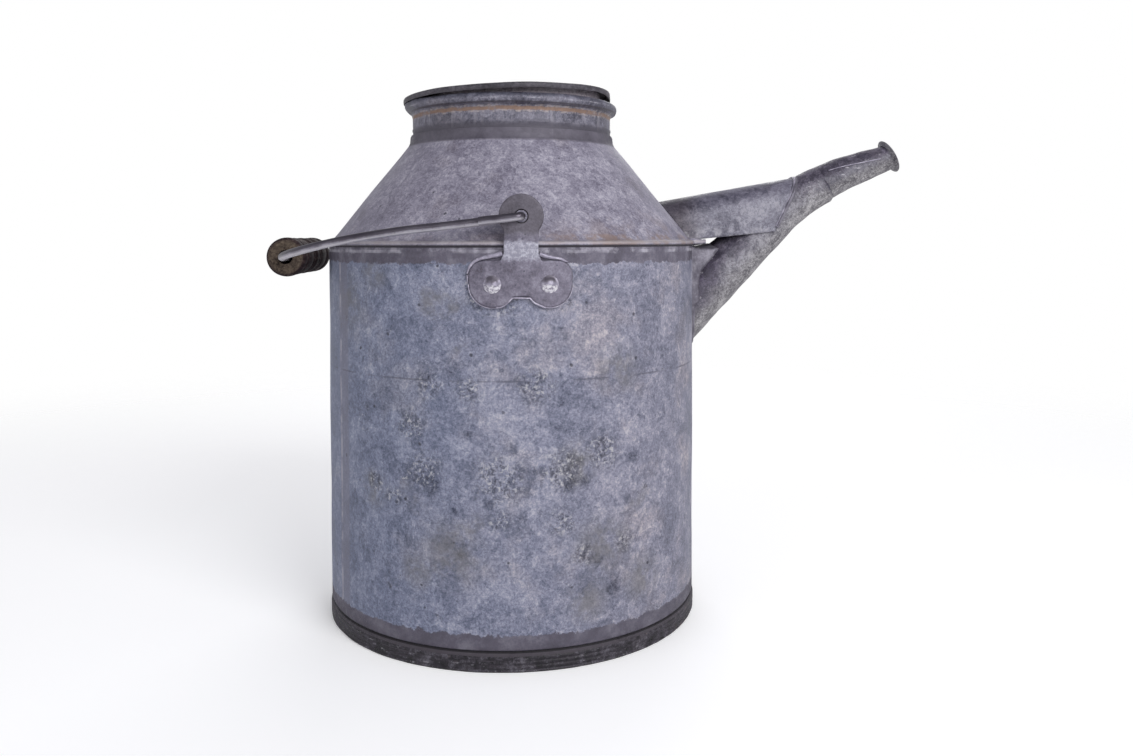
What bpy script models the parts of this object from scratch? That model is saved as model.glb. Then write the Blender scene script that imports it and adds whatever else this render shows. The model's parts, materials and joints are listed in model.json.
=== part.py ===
# Galvanised steel water can: cylindrical body, conical shoulder, short neck with a
# slip-in lid, long soldered spout with a half-round brace, two cast ears and a wire
# bail with a turned wooden grip.
# Metres, +Z up. The can stands on z = 0 with its spout along +X and its ears at -Y and +Y.

import math

import bmesh
import bpy
from mathutils import Matrix, Vector

# Sheet and running gaps
SHEET = 0.0006            # galvanised sheet
GAP = 0.0003              # between touching pieces
FACETS = 60               # round the can

# Body and double-seamed foot
BODY_RADIUS = 0.1016      # outside, an eight inch can
SEAM_HEIGHT = 0.2028      # floor to the underside of the shoulder hem
FOOT_HEM_HEIGHT = 0.0079  # how far the bottom is folded up outside the body
BOTTOM_RECESS = 0.0083    # floor to the top of the bottom panel
FOOT_GROOVE_ABOVE_HEM = 0.0022
FOOT_GROOVE_DEPTH = 0.0009
FOOT_GROOVE_HALF_HEIGHT = 0.0012

# Shoulder
HEM_OVERHANG = 0.0020     # hem outside the body wall
SHOULDER_RISE = 0.0554    # hem underside to the foot of the collar
COLLAR_HEIGHT = 0.0056
COLLAR_RADIUS = 0.0579    # outside of the upturned collar that holds the neck

# Neck with its curled rim
NECK_RADIUS = 0.05595     # outside
CURL_RADIUS = 0.0038      # outside of the hollow curl
CURL_RISE = 0.0774        # hem underside to the centre of the curl
CURL_FIRST_ANGLE = -80
CURL_LAST_ANGLE = 215
CURL_SPANS = 10
NECK_TAPER_LENGTH = 0.0018

# Lid, which sits cocked in the neck
LID_RADIUS = 0.0585
LID_EDGE_HEIGHT = 0.0028
LID_PANEL_RADIUS = 0.0490
LID_PANEL_RISE = 0.0008
LID_COVER_OFFSET = -0.0020  # the cover is soldered off centre on its skirt
LID_TILT = math.radians(2.2)
LID_SHIFT = -0.0007
SKIRT_RADIUS = 0.0508
SKIRT_DEPTH = 0.0190
SKIRT_FLANGE = 0.0040

# Spout: a tapered tube, then a bent tip that tapers to a flared lip
SPOUT_SLOPE = math.radians(42.0)
SPOUT_TIP_SLOPE = math.radians(19.7)
SPOUT_CORNER_OUT = 0.0740      # body wall to where the two centre lines meet
SPOUT_CORNER_RISE = 0.0345     # above the hem
SPOUT_BEND_TANGENT = 0.0243
SPOUT_ROOT_RADIUS = 0.0206
SPOUT_ROOT_DISTANCE = 0.1300   # back from the corner, inside the can
SPOUT_BEND_RADIUS = 0.0116     # outside of the tube at the bend
SPOUT_TUBE_OVERLAP = 0.0100    # past the corner, over the tip
SPOUT_TIP_INSERT = 0.0080      # tip inside the tube
SPOUT_MOUTH_RADIUS = 0.0074
SPOUT_TIP_LENGTH = 0.0507      # corner to lip
SPOUT_LIP_RADIUS = 0.0102
SPOUT_LIP_FLARE = 0.0022
SPOUT_LIP_TURN = math.radians(9)
SPOUT_FACETS = 16

# Brace: an inverted channel from the shoulder to the spout
BRACE_ROOT_INSIDE = 0.0236     # inside the body wall, before the shoulder trims it
BRACE_END_OUT = 0.0634         # outside the body wall, at its crown
BRACE_END_OUT_LOW = 0.0484     # at its lower edges
BRACE_ROOT_CROWN = 0.0233      # above the hem
BRACE_END_CROWN = 0.0387
BRACE_ROOT_EDGE = 0.0005
BRACE_END_EDGE = 0.0073
BRACE_ROOT_WIDTH = 0.0330
BRACE_END_WIDTH = 0.0270
BRACE_STATIONS = 4
BRACE_ARC_SPANS = 10

# Ears
EAR_THICKNESS = 0.0022
EAR_HOLE_RISE = 0.0140         # hem underside to the hole
EAR_HOLE_RADIUS = 0.0037
EAR_EYE_RADIUS = 0.01055
EAR_EYE_STANDOFF = 0.0039      # body wall to the back of the eye
EAR_STRAP_WIDTH = 0.0162
EAR_LOBE_RADIUS = 0.01115
EAR_SHOULDER_RADIUS = 0.0070   # upper corner of a lobe
EAR_STRAP_FLARE = 0.0014       # each side, where the strap runs into the lobes
EAR_NOTCH_DROP = 0.0237        # hem underside down to the notch
EAR_JOG_TOP = 0.0050
EAR_JOG_BOTTOM = -0.0060
EAR_SWEEP = math.radians(36)
EAR_SWEEP_STEPS = 12

# Rivets
RIVET_SPACING = 0.0264
RIVET_DROP = 0.01785           # hem underside down to the rivets
RIVET_SHANK_RADIUS = 0.0023
RIVET_HEAD_RADIUS = 0.0036
RIVET_HEAD_HEIGHT = 0.0019
RIVET_TAIL_RADIUS = 0.0033
RIVET_TAIL_HEIGHT = 0.0011
RIVET_FACETS = 12

# Bail wire and wooden grip
WIRE_RADIUS = 0.0020
BAIL_REACH = 0.1207            # hinge to grip axis
BAIL_DROOP = math.radians(9.4)
BAIL_BOW = 0.0027              # arms bow above the straight line
BAIL_SHOULDER = 0.0720         # where the arms begin to close in
HOOK_BEND_RADIUS = 0.0025
HOOK_CLEARANCE = 0.0005
HOOK_TAIL_LENGTH = 0.0240
GRIP_LENGTH = 0.0900
GRIP_RADIUS = 0.01015
GRIP_BORE_CLEARANCE = 0.0004   # round the wire
GRIP_MOUTH_RADIUS = 0.00365    # worn mouth of the bore
GRIP_MOUTH_DEPTH = 0.0070
GRIP_END_RADIUS = 0.0080
GRIP_BANDS = (0.0120, 0.0170, 0.0035)  # lengths of the end bead, long band and ring
GRIP_BAND_ROUND = 0.0008       # rounding of a band, where it meets a groove
GRIP_GROOVE_DEPTH = 0.0016
GRIP_GROOVE_WIDTH = 0.0025
GRIP_FACETS = 24

# Derived places
BODY_MID = BODY_RADIUS - SHEET / 2
HEM_PITCH = SHEET + GAP
FOOT_RADIUS = BODY_RADIUS + GAP + 0.0001 + SHEET
HEM_LOW = SEAM_HEIGHT + SHEET / 2
HEM_TOP = HEM_LOW + 2 * HEM_PITCH
COLLAR_FOOT = SEAM_HEIGHT + SHOULDER_RISE
COLLAR_TOP = COLLAR_FOOT + COLLAR_HEIGHT
CURL_HEIGHT = SEAM_HEIGHT + CURL_RISE
NECK_TOP = CURL_HEIGHT + CURL_RADIUS
HINGE_HEIGHT = SEAM_HEIGHT + EAR_HOLE_RISE
EYE_BACK = BODY_RADIUS + EAR_EYE_STANDOFF
EYE_FRONT = EYE_BACK + EAR_THICKNESS
ARM_OFFSET = EYE_BACK - HOOK_CLEARANCE - WIRE_RADIUS
TAIL_OFFSET = EYE_FRONT + HOOK_CLEARANCE + WIRE_RADIUS
TIP_DIRECTION = Vector((math.cos(SPOUT_TIP_SLOPE), 0, math.sin(SPOUT_TIP_SLOPE)))
TUBE_DIRECTION = Vector((math.cos(SPOUT_SLOPE), 0, math.sin(SPOUT_SLOPE)))
CORNER = Vector((BODY_RADIUS + SPOUT_CORNER_OUT, 0, SEAM_HEIGHT + SPOUT_CORNER_RISE))
BRACE_ROOT_REACH = BODY_RADIUS - BRACE_ROOT_INSIDE
BRACE_END_REACH = BODY_RADIUS + BRACE_END_OUT
BRACE_END_REACH_LOW = BODY_RADIUS + BRACE_END_OUT_LOW
SPOUT_END = CORNER + TIP_DIRECTION * SPOUT_TIP_LENGTH
SPOUT_REACH = SPOUT_END.x + SPOUT_LIP_RADIUS * math.sin(SPOUT_TIP_SLOPE + SPOUT_LIP_TURN)
BAIL_EXTENT = BAIL_REACH * math.cos(BAIL_DROOP) + GRIP_RADIUS

# The origin is under the middle of the whole object, so the can's axis lies off it
CAN_X = (BAIL_EXTENT - SPOUT_REACH) / 2


def clear_scene():
    for obj in list(bpy.data.objects):
        bpy.data.objects.remove(obj, do_unlink=True)


def make_collection(name):
    group = bpy.data.collections.new(name)
    bpy.context.scene.collection.children.link(group)
    return group


def make_material(name, colour, metallic, roughness):
    mat = bpy.data.materials.new(name)
    mat.use_nodes = True
    shader = mat.node_tree.nodes["Principled BSDF"]
    shader.inputs["Base Color"].default_value = (*colour, 1)
    shader.inputs["Metallic"].default_value = metallic
    shader.inputs["Roughness"].default_value = roughness
    mat.diffuse_color = (*colour, 1)
    return mat


def add_object(name, data, group, parent=None, mat=None):
    obj = bpy.data.objects.new(name, data)
    group.objects.link(obj)
    obj.parent = parent
    if mat:
        obj.data.materials.append(mat)
    return obj


def profile_mesh(name, points, closed=False):
    """Edges through (radius, height) points in the XZ plane."""
    mesh = bpy.data.meshes.new(name)
    edges = [(i, i + 1) for i in range(len(points) - 1)]
    if closed:
        edges.append((len(points) - 1, 0))
    mesh.from_pydata([(r, 0, z) for r, z in points], edges, [])
    return mesh


def add_screw(obj, steps, angle=math.tau):
    screw = obj.modifiers.new("Turn", "SCREW")
    screw.axis = "Z"
    screw.angle = angle
    screw.steps = steps
    screw.render_steps = steps
    screw.use_merge_vertices = angle == math.tau
    screw.merge_threshold = 0.00001
    return screw


def add_wall(obj, thickness, offset):
    wall = obj.modifiers.new("Wall", "SOLIDIFY")
    wall.thickness = thickness
    wall.offset = offset
    wall.use_even_offset = True
    return wall


def turned_sheet(name, centre_line, group, parent, mat):
    """Sheet metal turned round Z, half the sheet each side of its centre line."""
    obj = add_object(name, profile_mesh(name, centre_line), group, parent, mat)
    add_screw(obj, FACETS)
    add_wall(obj, SHEET, 0)
    return obj


def turned_solid(name, outline, group, parent=None, mat=None, steps=FACETS, closed=False):
    obj = add_object(name, profile_mesh(name, outline, closed), group, parent, mat)
    add_screw(obj, steps)
    return obj


def freeze(obj):
    """Replace an object's curve or modifiers by the mesh that they make."""
    bpy.context.view_layer.update()
    depsgraph = bpy.context.evaluated_depsgraph_get()
    mesh = bpy.data.meshes.new_from_object(obj.evaluated_get(depsgraph))
    if obj.type == "MESH":
        obj.modifiers.clear()
        obj.data = mesh
        return obj
    name, parent, matrix = obj.name, obj.parent, obj.matrix_world.copy()
    groups = list(obj.users_collection)
    bpy.data.objects.remove(obj, do_unlink=True)
    solid = bpy.data.objects.new(name, mesh)
    groups[0].objects.link(solid)
    solid.parent = parent
    solid.matrix_world = matrix
    return solid


def weld(obj, distance=0.00001):
    edit = bmesh.new()
    edit.from_mesh(obj.data)
    bmesh.ops.remove_doubles(edit, verts=edit.verts, dist=distance)
    bmesh.ops.recalc_face_normals(edit, faces=edit.faces)
    edit.to_mesh(obj.data)
    edit.free()


def boolean(obj, tool, operation="DIFFERENCE"):
    step = obj.modifiers.new(operation.title(), "BOOLEAN")
    step.operation = operation
    step.solver = "EXACT"
    step.object = tool
    return step


def shade(obj, angle=math.radians(35)):
    obj.data.shade_smooth()
    obj.data.set_sharp_from_angle(angle=angle)


def hide_tool(obj):
    obj.hide_render = True
    obj.display_type = "WIRE"
    return obj


def tube_curve(name, path, radii, group, parent, sides, caps):
    """Round tube along a path, with its own outside radius at each point."""
    curve = bpy.data.curves.new(name, "CURVE")
    curve.dimensions = "3D"
    curve.bevel_depth = 1.0
    curve.bevel_resolution = (sides - 4) // 2
    curve.use_fill_caps = caps
    spline = curve.splines.new("POLY")
    spline.points.add(len(path) - 1)
    for point, place, radius in zip(spline.points, path, radii):
        point.co = (*place, 1)
        point.radius = radius
    return add_object(name, curve, group, parent)


def bend_path(first, corner, last, tangent, spans):
    """Two straight runs joined by a circular arc."""
    into = (corner - first).normalized()
    out = (last - corner).normalized()
    turn = into.angle(out)
    radius = tangent / math.tan(turn / 2)
    start = corner - into * tangent
    side = (out - into * out.dot(into)).normalized()
    arc = []
    for i in range(spans + 1):
        a = turn * i / spans
        arc.append(start + into * radius * math.sin(a) + side * radius * (1 - math.cos(a)))
    return [first, *arc, last]


def path_lengths(path):
    lengths = [0.0]
    for a, b in zip(path, path[1:]):
        lengths.append(lengths[-1] + (b - a).length)
    return lengths


def arc_points(centre, radius, first, last, spans):
    """Points on a circle, angles in degrees."""
    points = []
    for i in range(spans + 1):
        a = math.radians(first + (last - first) * i / spans)
        points.append((centre[0] + radius * math.cos(a), centre[1] + radius * math.sin(a)))
    return points


def body_outline():
    groove = FOOT_HEM_HEIGHT + FOOT_GROOVE_ABOVE_HEM
    flange_end = BODY_RADIUS + HEM_OVERHANG - SHEET - GAP - 0.0001
    flange = HEM_LOW + HEM_PITCH
    return [
        (flange_end, flange),
        (BODY_MID, flange),
        (BODY_MID, groove + FOOT_GROOVE_HALF_HEIGHT),
        (BODY_MID - FOOT_GROOVE_DEPTH, groove),
        (BODY_MID, groove - FOOT_GROOVE_HALF_HEIGHT),
        (BODY_MID, SHEET + GAP),
    ]


def bottom_outline():
    inner = BODY_RADIUS - 1.5 * SHEET - GAP - 0.0001
    outer = FOOT_RADIUS - SHEET / 2
    panel = BOTTOM_RECESS - SHEET / 2
    return [
        (outer, FOOT_HEM_HEIGHT),
        (outer, SHEET / 2),
        (inner, SHEET / 2),
        (inner, panel),
        (0, panel),
    ]


def shoulder_outline():
    collar = COLLAR_RADIUS - SHEET / 2
    outer = BODY_RADIUS + HEM_OVERHANG - SHEET / 2
    return [
        (collar, COLLAR_TOP),
        (collar, COLLAR_FOOT),
        (BODY_RADIUS - HEM_PITCH, HEM_TOP),
        (outer, HEM_TOP),
        (outer, HEM_LOW),
        (BODY_RADIUS + GAP + 0.0001, HEM_LOW),
    ]


def neck_outline():
    wall = NECK_RADIUS - SHEET / 2
    foot = COLLAR_RADIUS - 1.5 * SHEET - GAP
    centre = (NECK_RADIUS, CURL_HEIGHT)
    curl = arc_points(centre, CURL_RADIUS - SHEET / 2, CURL_LAST_ANGLE, CURL_FIRST_ANGLE, CURL_SPANS)
    return [
        *curl,
        (wall, CURL_HEIGHT - CURL_RADIUS - SHEET),
        (wall, COLLAR_TOP + NECK_TAPER_LENGTH),
        (foot, COLLAR_TOP),
        (foot, COLLAR_FOOT + GAP),
    ]


def lid_cover_outline():
    edge = LID_RADIUS - SHEET / 2
    top = -SHEET / 2
    return [
        (edge, -LID_EDGE_HEIGHT),
        (edge, top),
        (LID_PANEL_RADIUS + LID_PANEL_RISE, top),
        (LID_PANEL_RADIUS - LID_PANEL_RISE, top + LID_PANEL_RISE),
        (0, top + LID_PANEL_RISE),
    ]


def lid_skirt_outline():
    wall = SKIRT_RADIUS - SHEET / 2
    top = -1.5 * SHEET - GAP
    return [(wall, -SKIRT_DEPTH), (wall, top), (wall - SKIRT_FLANGE, top)]


def spout_line():
    """Centre line of the whole spout from inside the can to the lip."""
    root = CORNER - TUBE_DIRECTION * SPOUT_ROOT_DISTANCE
    return bend_path(root, CORNER, SPOUT_END, SPOUT_BEND_TANGENT, 8)


def along(path, distance):
    """Point on a path at a distance from its start, going on straight past its end."""
    lengths = path_lengths(path)
    i = 0
    while i < len(path) - 2 and lengths[i + 1] < distance:
        i += 1
    step = path[i + 1] - path[i]
    return path[i] + step * ((distance - lengths[i]) / step.length)


def spout_radius(distance):
    """Outside radius of the spout tube, straight taper to the bend, constant after it."""
    bend = SPOUT_ROOT_DISTANCE - SPOUT_BEND_TANGENT
    share = min(distance / bend, 1)
    return SPOUT_ROOT_RADIUS + (SPOUT_BEND_RADIUS - SPOUT_ROOT_RADIUS) * share


def spout_stations(first, last, count):
    return [first + (last - first) * i / (count - 1) for i in range(count)]


def make_spout_tube(name, group, parent, grow=0.0, caps=False):
    line = spout_line()
    end = SPOUT_ROOT_DISTANCE + SPOUT_TUBE_OVERLAP
    bend = SPOUT_ROOT_DISTANCE - SPOUT_BEND_TANGENT
    stations = [0, bend / 3, bend * 2 / 3, *spout_stations(bend, end, 7)]
    path = [along(line, s) for s in stations]
    radii = [spout_radius(s) + grow for s in stations]
    return freeze(tube_curve(name, path, radii, group, parent, SPOUT_FACETS, caps))


def make_spout_tip(name, group, parent, mat):
    line = spout_line()
    start = SPOUT_ROOT_DISTANCE + SPOUT_TUBE_OVERLAP - SPOUT_TIP_INSERT
    mouth = path_lengths(line)[-1] - SPOUT_LIP_FLARE
    stations = spout_stations(start, mouth, 8)
    path = [along(line, s) for s in stations]
    root_radius = SPOUT_BEND_RADIUS - SHEET - GAP
    radii = [root_radius + (SPOUT_MOUTH_RADIUS - root_radius) * ((s - start) / (mouth - start)) ** 1.5
             for s in stations]
    lip_slope = SPOUT_TIP_SLOPE + SPOUT_LIP_TURN
    lip = Vector((math.cos(lip_slope), 0, math.sin(lip_slope)))
    path.append(path[-1] + lip * SPOUT_LIP_FLARE * 0.6)
    radii.append((SPOUT_MOUTH_RADIUS + SPOUT_LIP_RADIUS) / 2)
    path.append(path[-1] + lip * SPOUT_LIP_FLARE * 0.4)
    radii.append(SPOUT_LIP_RADIUS)
    tip = freeze(tube_curve(name, path, radii, group, parent, SPOUT_FACETS, False))
    tip.data.materials.append(mat)
    add_wall(tip, SHEET, -1)
    return tip


def brace_section(share):
    """One inverted U of the brace, from one lower edge over the crown to the other."""
    width = BRACE_ROOT_WIDTH + (BRACE_END_WIDTH - BRACE_ROOT_WIDTH) * share
    crown = BRACE_ROOT_CROWN + (BRACE_END_CROWN - BRACE_ROOT_CROWN) * share
    edge = BRACE_ROOT_EDGE + (BRACE_END_EDGE - BRACE_ROOT_EDGE) * share
    low_reach = BRACE_ROOT_REACH + (BRACE_END_REACH_LOW - BRACE_ROOT_REACH) * share
    high_reach = BRACE_ROOT_REACH + (BRACE_END_REACH - BRACE_ROOT_REACH) * share
    half = width / 2
    outline = [(-half, edge), *arc_points((0, crown - half), half, 180, 0, BRACE_ARC_SPANS), (half, edge)]
    section = []
    for y, z in outline:
        lift = (z - edge) / (crown - edge)
        section.append(Vector((low_reach + (high_reach - low_reach) * lift, y, SEAM_HEIGHT + z)))
    return section


def loft_strip(name, sections, group, parent, mat):
    edit = bmesh.new()
    rows = [[edit.verts.new(p) for p in section] for section in sections]
    for a, b in zip(rows, rows[1:]):
        for i in range(len(a) - 1):
            edit.faces.new((a[i], a[i + 1], b[i + 1], b[i]))
    mesh = bpy.data.meshes.new(name)
    edit.to_mesh(mesh)
    edit.free()
    return add_object(name, mesh, group, parent, mat)


def ear_outline():
    """Flat outline of an ear about the hinge hole: eye, strap and two lobes."""
    half = EAR_STRAP_WIDTH / 2
    lobe_z = -EAR_HOLE_RISE - RIVET_DROP
    notch_z = -EAR_HOLE_RISE - EAR_NOTCH_DROP
    neck = math.degrees(math.acos(half / EAR_EYE_RADIUS))
    foot = math.degrees(math.asin((notch_z - lobe_z) / EAR_LOBE_RADIUS))
    right_lobe = (RIVET_SPACING / 2, lobe_z)
    left_lobe = (-RIVET_SPACING / 2, lobe_z)
    corner_x = RIVET_SPACING / 2 + EAR_LOBE_RADIUS - EAR_SHOULDER_RADIUS
    corner_z = lobe_z + EAR_LOBE_RADIUS - EAR_SHOULDER_RADIUS
    return [
        *arc_points((0, 0), EAR_EYE_RADIUS, -neck, 180 + neck, 20),
        (-half, EAR_JOG_TOP - EAR_HOLE_RISE),
        (-half, EAR_JOG_BOTTOM / 2 - EAR_HOLE_RISE),
        (-half - EAR_STRAP_FLARE, lobe_z + EAR_LOBE_RADIUS),
        *arc_points((-corner_x, corner_z), EAR_SHOULDER_RADIUS, 90, 180, 6),
        *arc_points(left_lobe, EAR_LOBE_RADIUS, 180, 360 + foot, 10),
        *arc_points(right_lobe, EAR_LOBE_RADIUS, 180 - foot, 360, 10),
        *arc_points((corner_x, corner_z), EAR_SHOULDER_RADIUS, 0, 90, 6),
        (half + EAR_STRAP_FLARE, lobe_z + EAR_LOBE_RADIUS),
        (half, EAR_JOG_BOTTOM / 2 - EAR_HOLE_RISE),
        (half, EAR_JOG_TOP - EAR_HOLE_RISE),
    ]


def make_prism(name, outline, depth, group, parent):
    """Flat outline in XZ, extruded along Y, as a closed mesh."""
    curve = bpy.data.curves.new(name, "CURVE")
    curve.dimensions = "2D"
    curve.fill_mode = "BOTH"
    curve.extrude = depth / 2
    spline = curve.splines.new("POLY")
    spline.points.add(len(outline) - 1)
    for point, (x, z) in zip(spline.points, outline):
        point.co = (x, z, 0, 1)
    spline.use_cyclic_u = True
    obj = add_object(name, curve, group, parent)
    obj.rotation_euler = (math.radians(90), 0, 0)
    prism = freeze(obj)
    weld(prism)
    return prism


def ear_profile():
    """Jogged section of an ear: base on the body, strap out over the hem, upright eye."""
    base = BODY_RADIUS + GAP + EAR_THICKNESS / 2
    eye = EYE_BACK + EAR_THICKNESS / 2
    return [
        (eye, HINGE_HEIGHT + EAR_EYE_RADIUS * 1.3),
        (eye, SEAM_HEIGHT + EAR_JOG_TOP),
        (base, SEAM_HEIGHT + EAR_JOG_BOTTOM),
        (base, SEAM_HEIGHT - RIVET_DROP - EAR_LOBE_RADIUS * 1.2),
    ]


def make_ear(name, side, group, tools, parent, mat):
    """side is -1 for the front ear and +1 for the back ear."""
    ear = add_object(name, profile_mesh(name, ear_profile()), group, parent, mat)
    screw = add_screw(ear, EAR_SWEEP_STEPS, EAR_SWEEP)
    screw.use_merge_vertices = False
    add_wall(ear, EAR_THICKNESS, 0)
    ear.rotation_euler = (0, 0, side * math.pi / 2 - EAR_SWEEP / 2)
    blank = make_prism(name + "_blank", ear_outline(), 0.05, tools, parent)
    blank.location = (0, side * EYE_BACK, HINGE_HEIGHT)
    boolean(ear, hide_tool(blank), "INTERSECT")
    return ear


def across_tool(name, radius, length, place, tools, parent, angle=0.0, sides=24):
    """Round cutter with its axis along Y, turned about the can's axis by angle."""
    bpy.ops.mesh.primitive_cylinder_add(vertices=sides, radius=radius, depth=length)
    tool = bpy.context.object
    tool.name = name
    for group in list(tool.users_collection):
        group.objects.unlink(tool)
    tools.objects.link(tool)
    tool.parent = parent
    tool.matrix_local = Matrix.Rotation(angle, 4, "Z") @ Matrix.Translation(place) @ Matrix.Rotation(
        math.pi / 2, 4, "X")
    return hide_tool(tool)


def rivet_outline():
    """Half section of a rivet along its axis, outer head at the top."""
    back = BODY_RADIUS - SHEET - GAP
    front = BODY_RADIUS + GAP + EAR_THICKNESS + GAP
    dome = [(RIVET_HEAD_RADIUS * math.cos(a), front + RIVET_HEAD_HEIGHT * math.sin(a))
            for a in (math.radians(90 - 22.5 * i) for i in range(1, 5))]
    return [
        (0, front + RIVET_HEAD_HEIGHT),
        *dome,
        (RIVET_SHANK_RADIUS, front),
        (RIVET_SHANK_RADIUS, back),
        (RIVET_TAIL_RADIUS, back),
        (RIVET_TAIL_RADIUS, back - RIVET_TAIL_HEIGHT),
        (0, back - RIVET_TAIL_HEIGHT),
    ]


def make_rivet(name, side, offset, group, parent, mat):
    rivet = turned_solid(name, rivet_outline(), group, parent, mat, RIVET_FACETS)
    angle = rivet_angle(side, offset)
    rivet.matrix_local = (Matrix.Translation((0, 0, SEAM_HEIGHT - RIVET_DROP))
                          @ Matrix.Rotation(angle, 4, "Z") @ Matrix.Rotation(math.pi / 2, 4, "Y"))
    return rivet


def rivet_angle(side, offset):
    """Direction of a rivet round the can; offset is -1 or +1 along X."""
    lean = math.asin(RIVET_SPACING / 2 / BODY_RADIUS)
    return side * (math.pi / 2 - offset * lean)


def bail_half():
    """Half the wire from the cut tail to the middle of the grip, in the bail's own frame.

    x runs from the hinge towards the grip, y outwards, z up from the bail's plane."""
    r = HOOK_BEND_RADIUS
    eye = EAR_EYE_RADIUS + WIRE_RADIUS
    tail_end = ARM_OFFSET + 2 * WIRE_RADIUS + 2 * GAP
    hook = [(HOOK_TAIL_LENGTH, tail_end, 0), (eye, TAIL_OFFSET, 0)]
    hook += [(x, y, 0) for x, y in arc_points((r, TAIL_OFFSET - r), r, 90, 180, 4)]
    hook += [(x, y, 0) for x, y in arc_points((r, ARM_OFFSET + r), r, 180, 270, 4)]
    spans = 6
    arm = []
    for i in range(1, spans + 1):
        share = i / spans
        arm.append((r + (BAIL_SHOULDER - r) * share, ARM_OFFSET, BAIL_BOW * math.sin(share * math.pi / 2)))
    grip_end = GRIP_LENGTH / 2 + WIRE_RADIUS
    depth = BAIL_REACH - BAIL_SHOULDER
    width = ARM_OFFSET - grip_end
    bend_spans = 9
    for i in range(1, bend_spans + 1):
        a = math.radians(90 * i / bend_spans)
        rise = BAIL_BOW * math.cos(a) ** 2
        arm.append((BAIL_SHOULDER + depth * math.sin(a), grip_end + width * math.cos(a), rise))
    return hook + arm


def make_bail(group, bail_axis, mat):
    half = bail_half()
    path = [Vector((-x, -y, z)) for x, y, z in half]
    path += [Vector((-x, y, z)) for x, y, z in reversed(half)]
    wire = freeze(tube_curve("bail_wire", path, [WIRE_RADIUS] * len(path), group, bail_axis, 8, True))
    weld(wire)
    wire.data.materials.append(mat)
    return wire


def grip_outline():
    """Closed half section of the grip: end bead, long band, ring and middle ring, and a bore with wide mouths."""
    half = GRIP_LENGTH / 2
    bottom = GRIP_RADIUS - GRIP_GROOVE_DEPTH
    top = [(GRIP_END_RADIUS, half)]
    z = half
    rounding = GRIP_RADIUS - GRIP_END_RADIUS
    for band in GRIP_BANDS:
        top.append((GRIP_RADIUS, z - rounding))
        z -= band
        top.append((GRIP_RADIUS, z + GRIP_BAND_ROUND))
        top.append((bottom, z))
        z -= GRIP_GROOVE_WIDTH
        top.append((bottom, z))
        rounding = GRIP_BAND_ROUND
    top.append((GRIP_RADIUS, z - rounding))
    mirrored = [(r, -z) for r, z in reversed(top)]
    bore = WIRE_RADIUS + GRIP_BORE_CLEARANCE
    seat = half - GRIP_MOUTH_DEPTH
    mouths = [(GRIP_MOUTH_RADIUS, -half), (bore, -seat), (bore, seat), (GRIP_MOUTH_RADIUS, half)]
    return [*top, *mirrored, *mouths]


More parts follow.
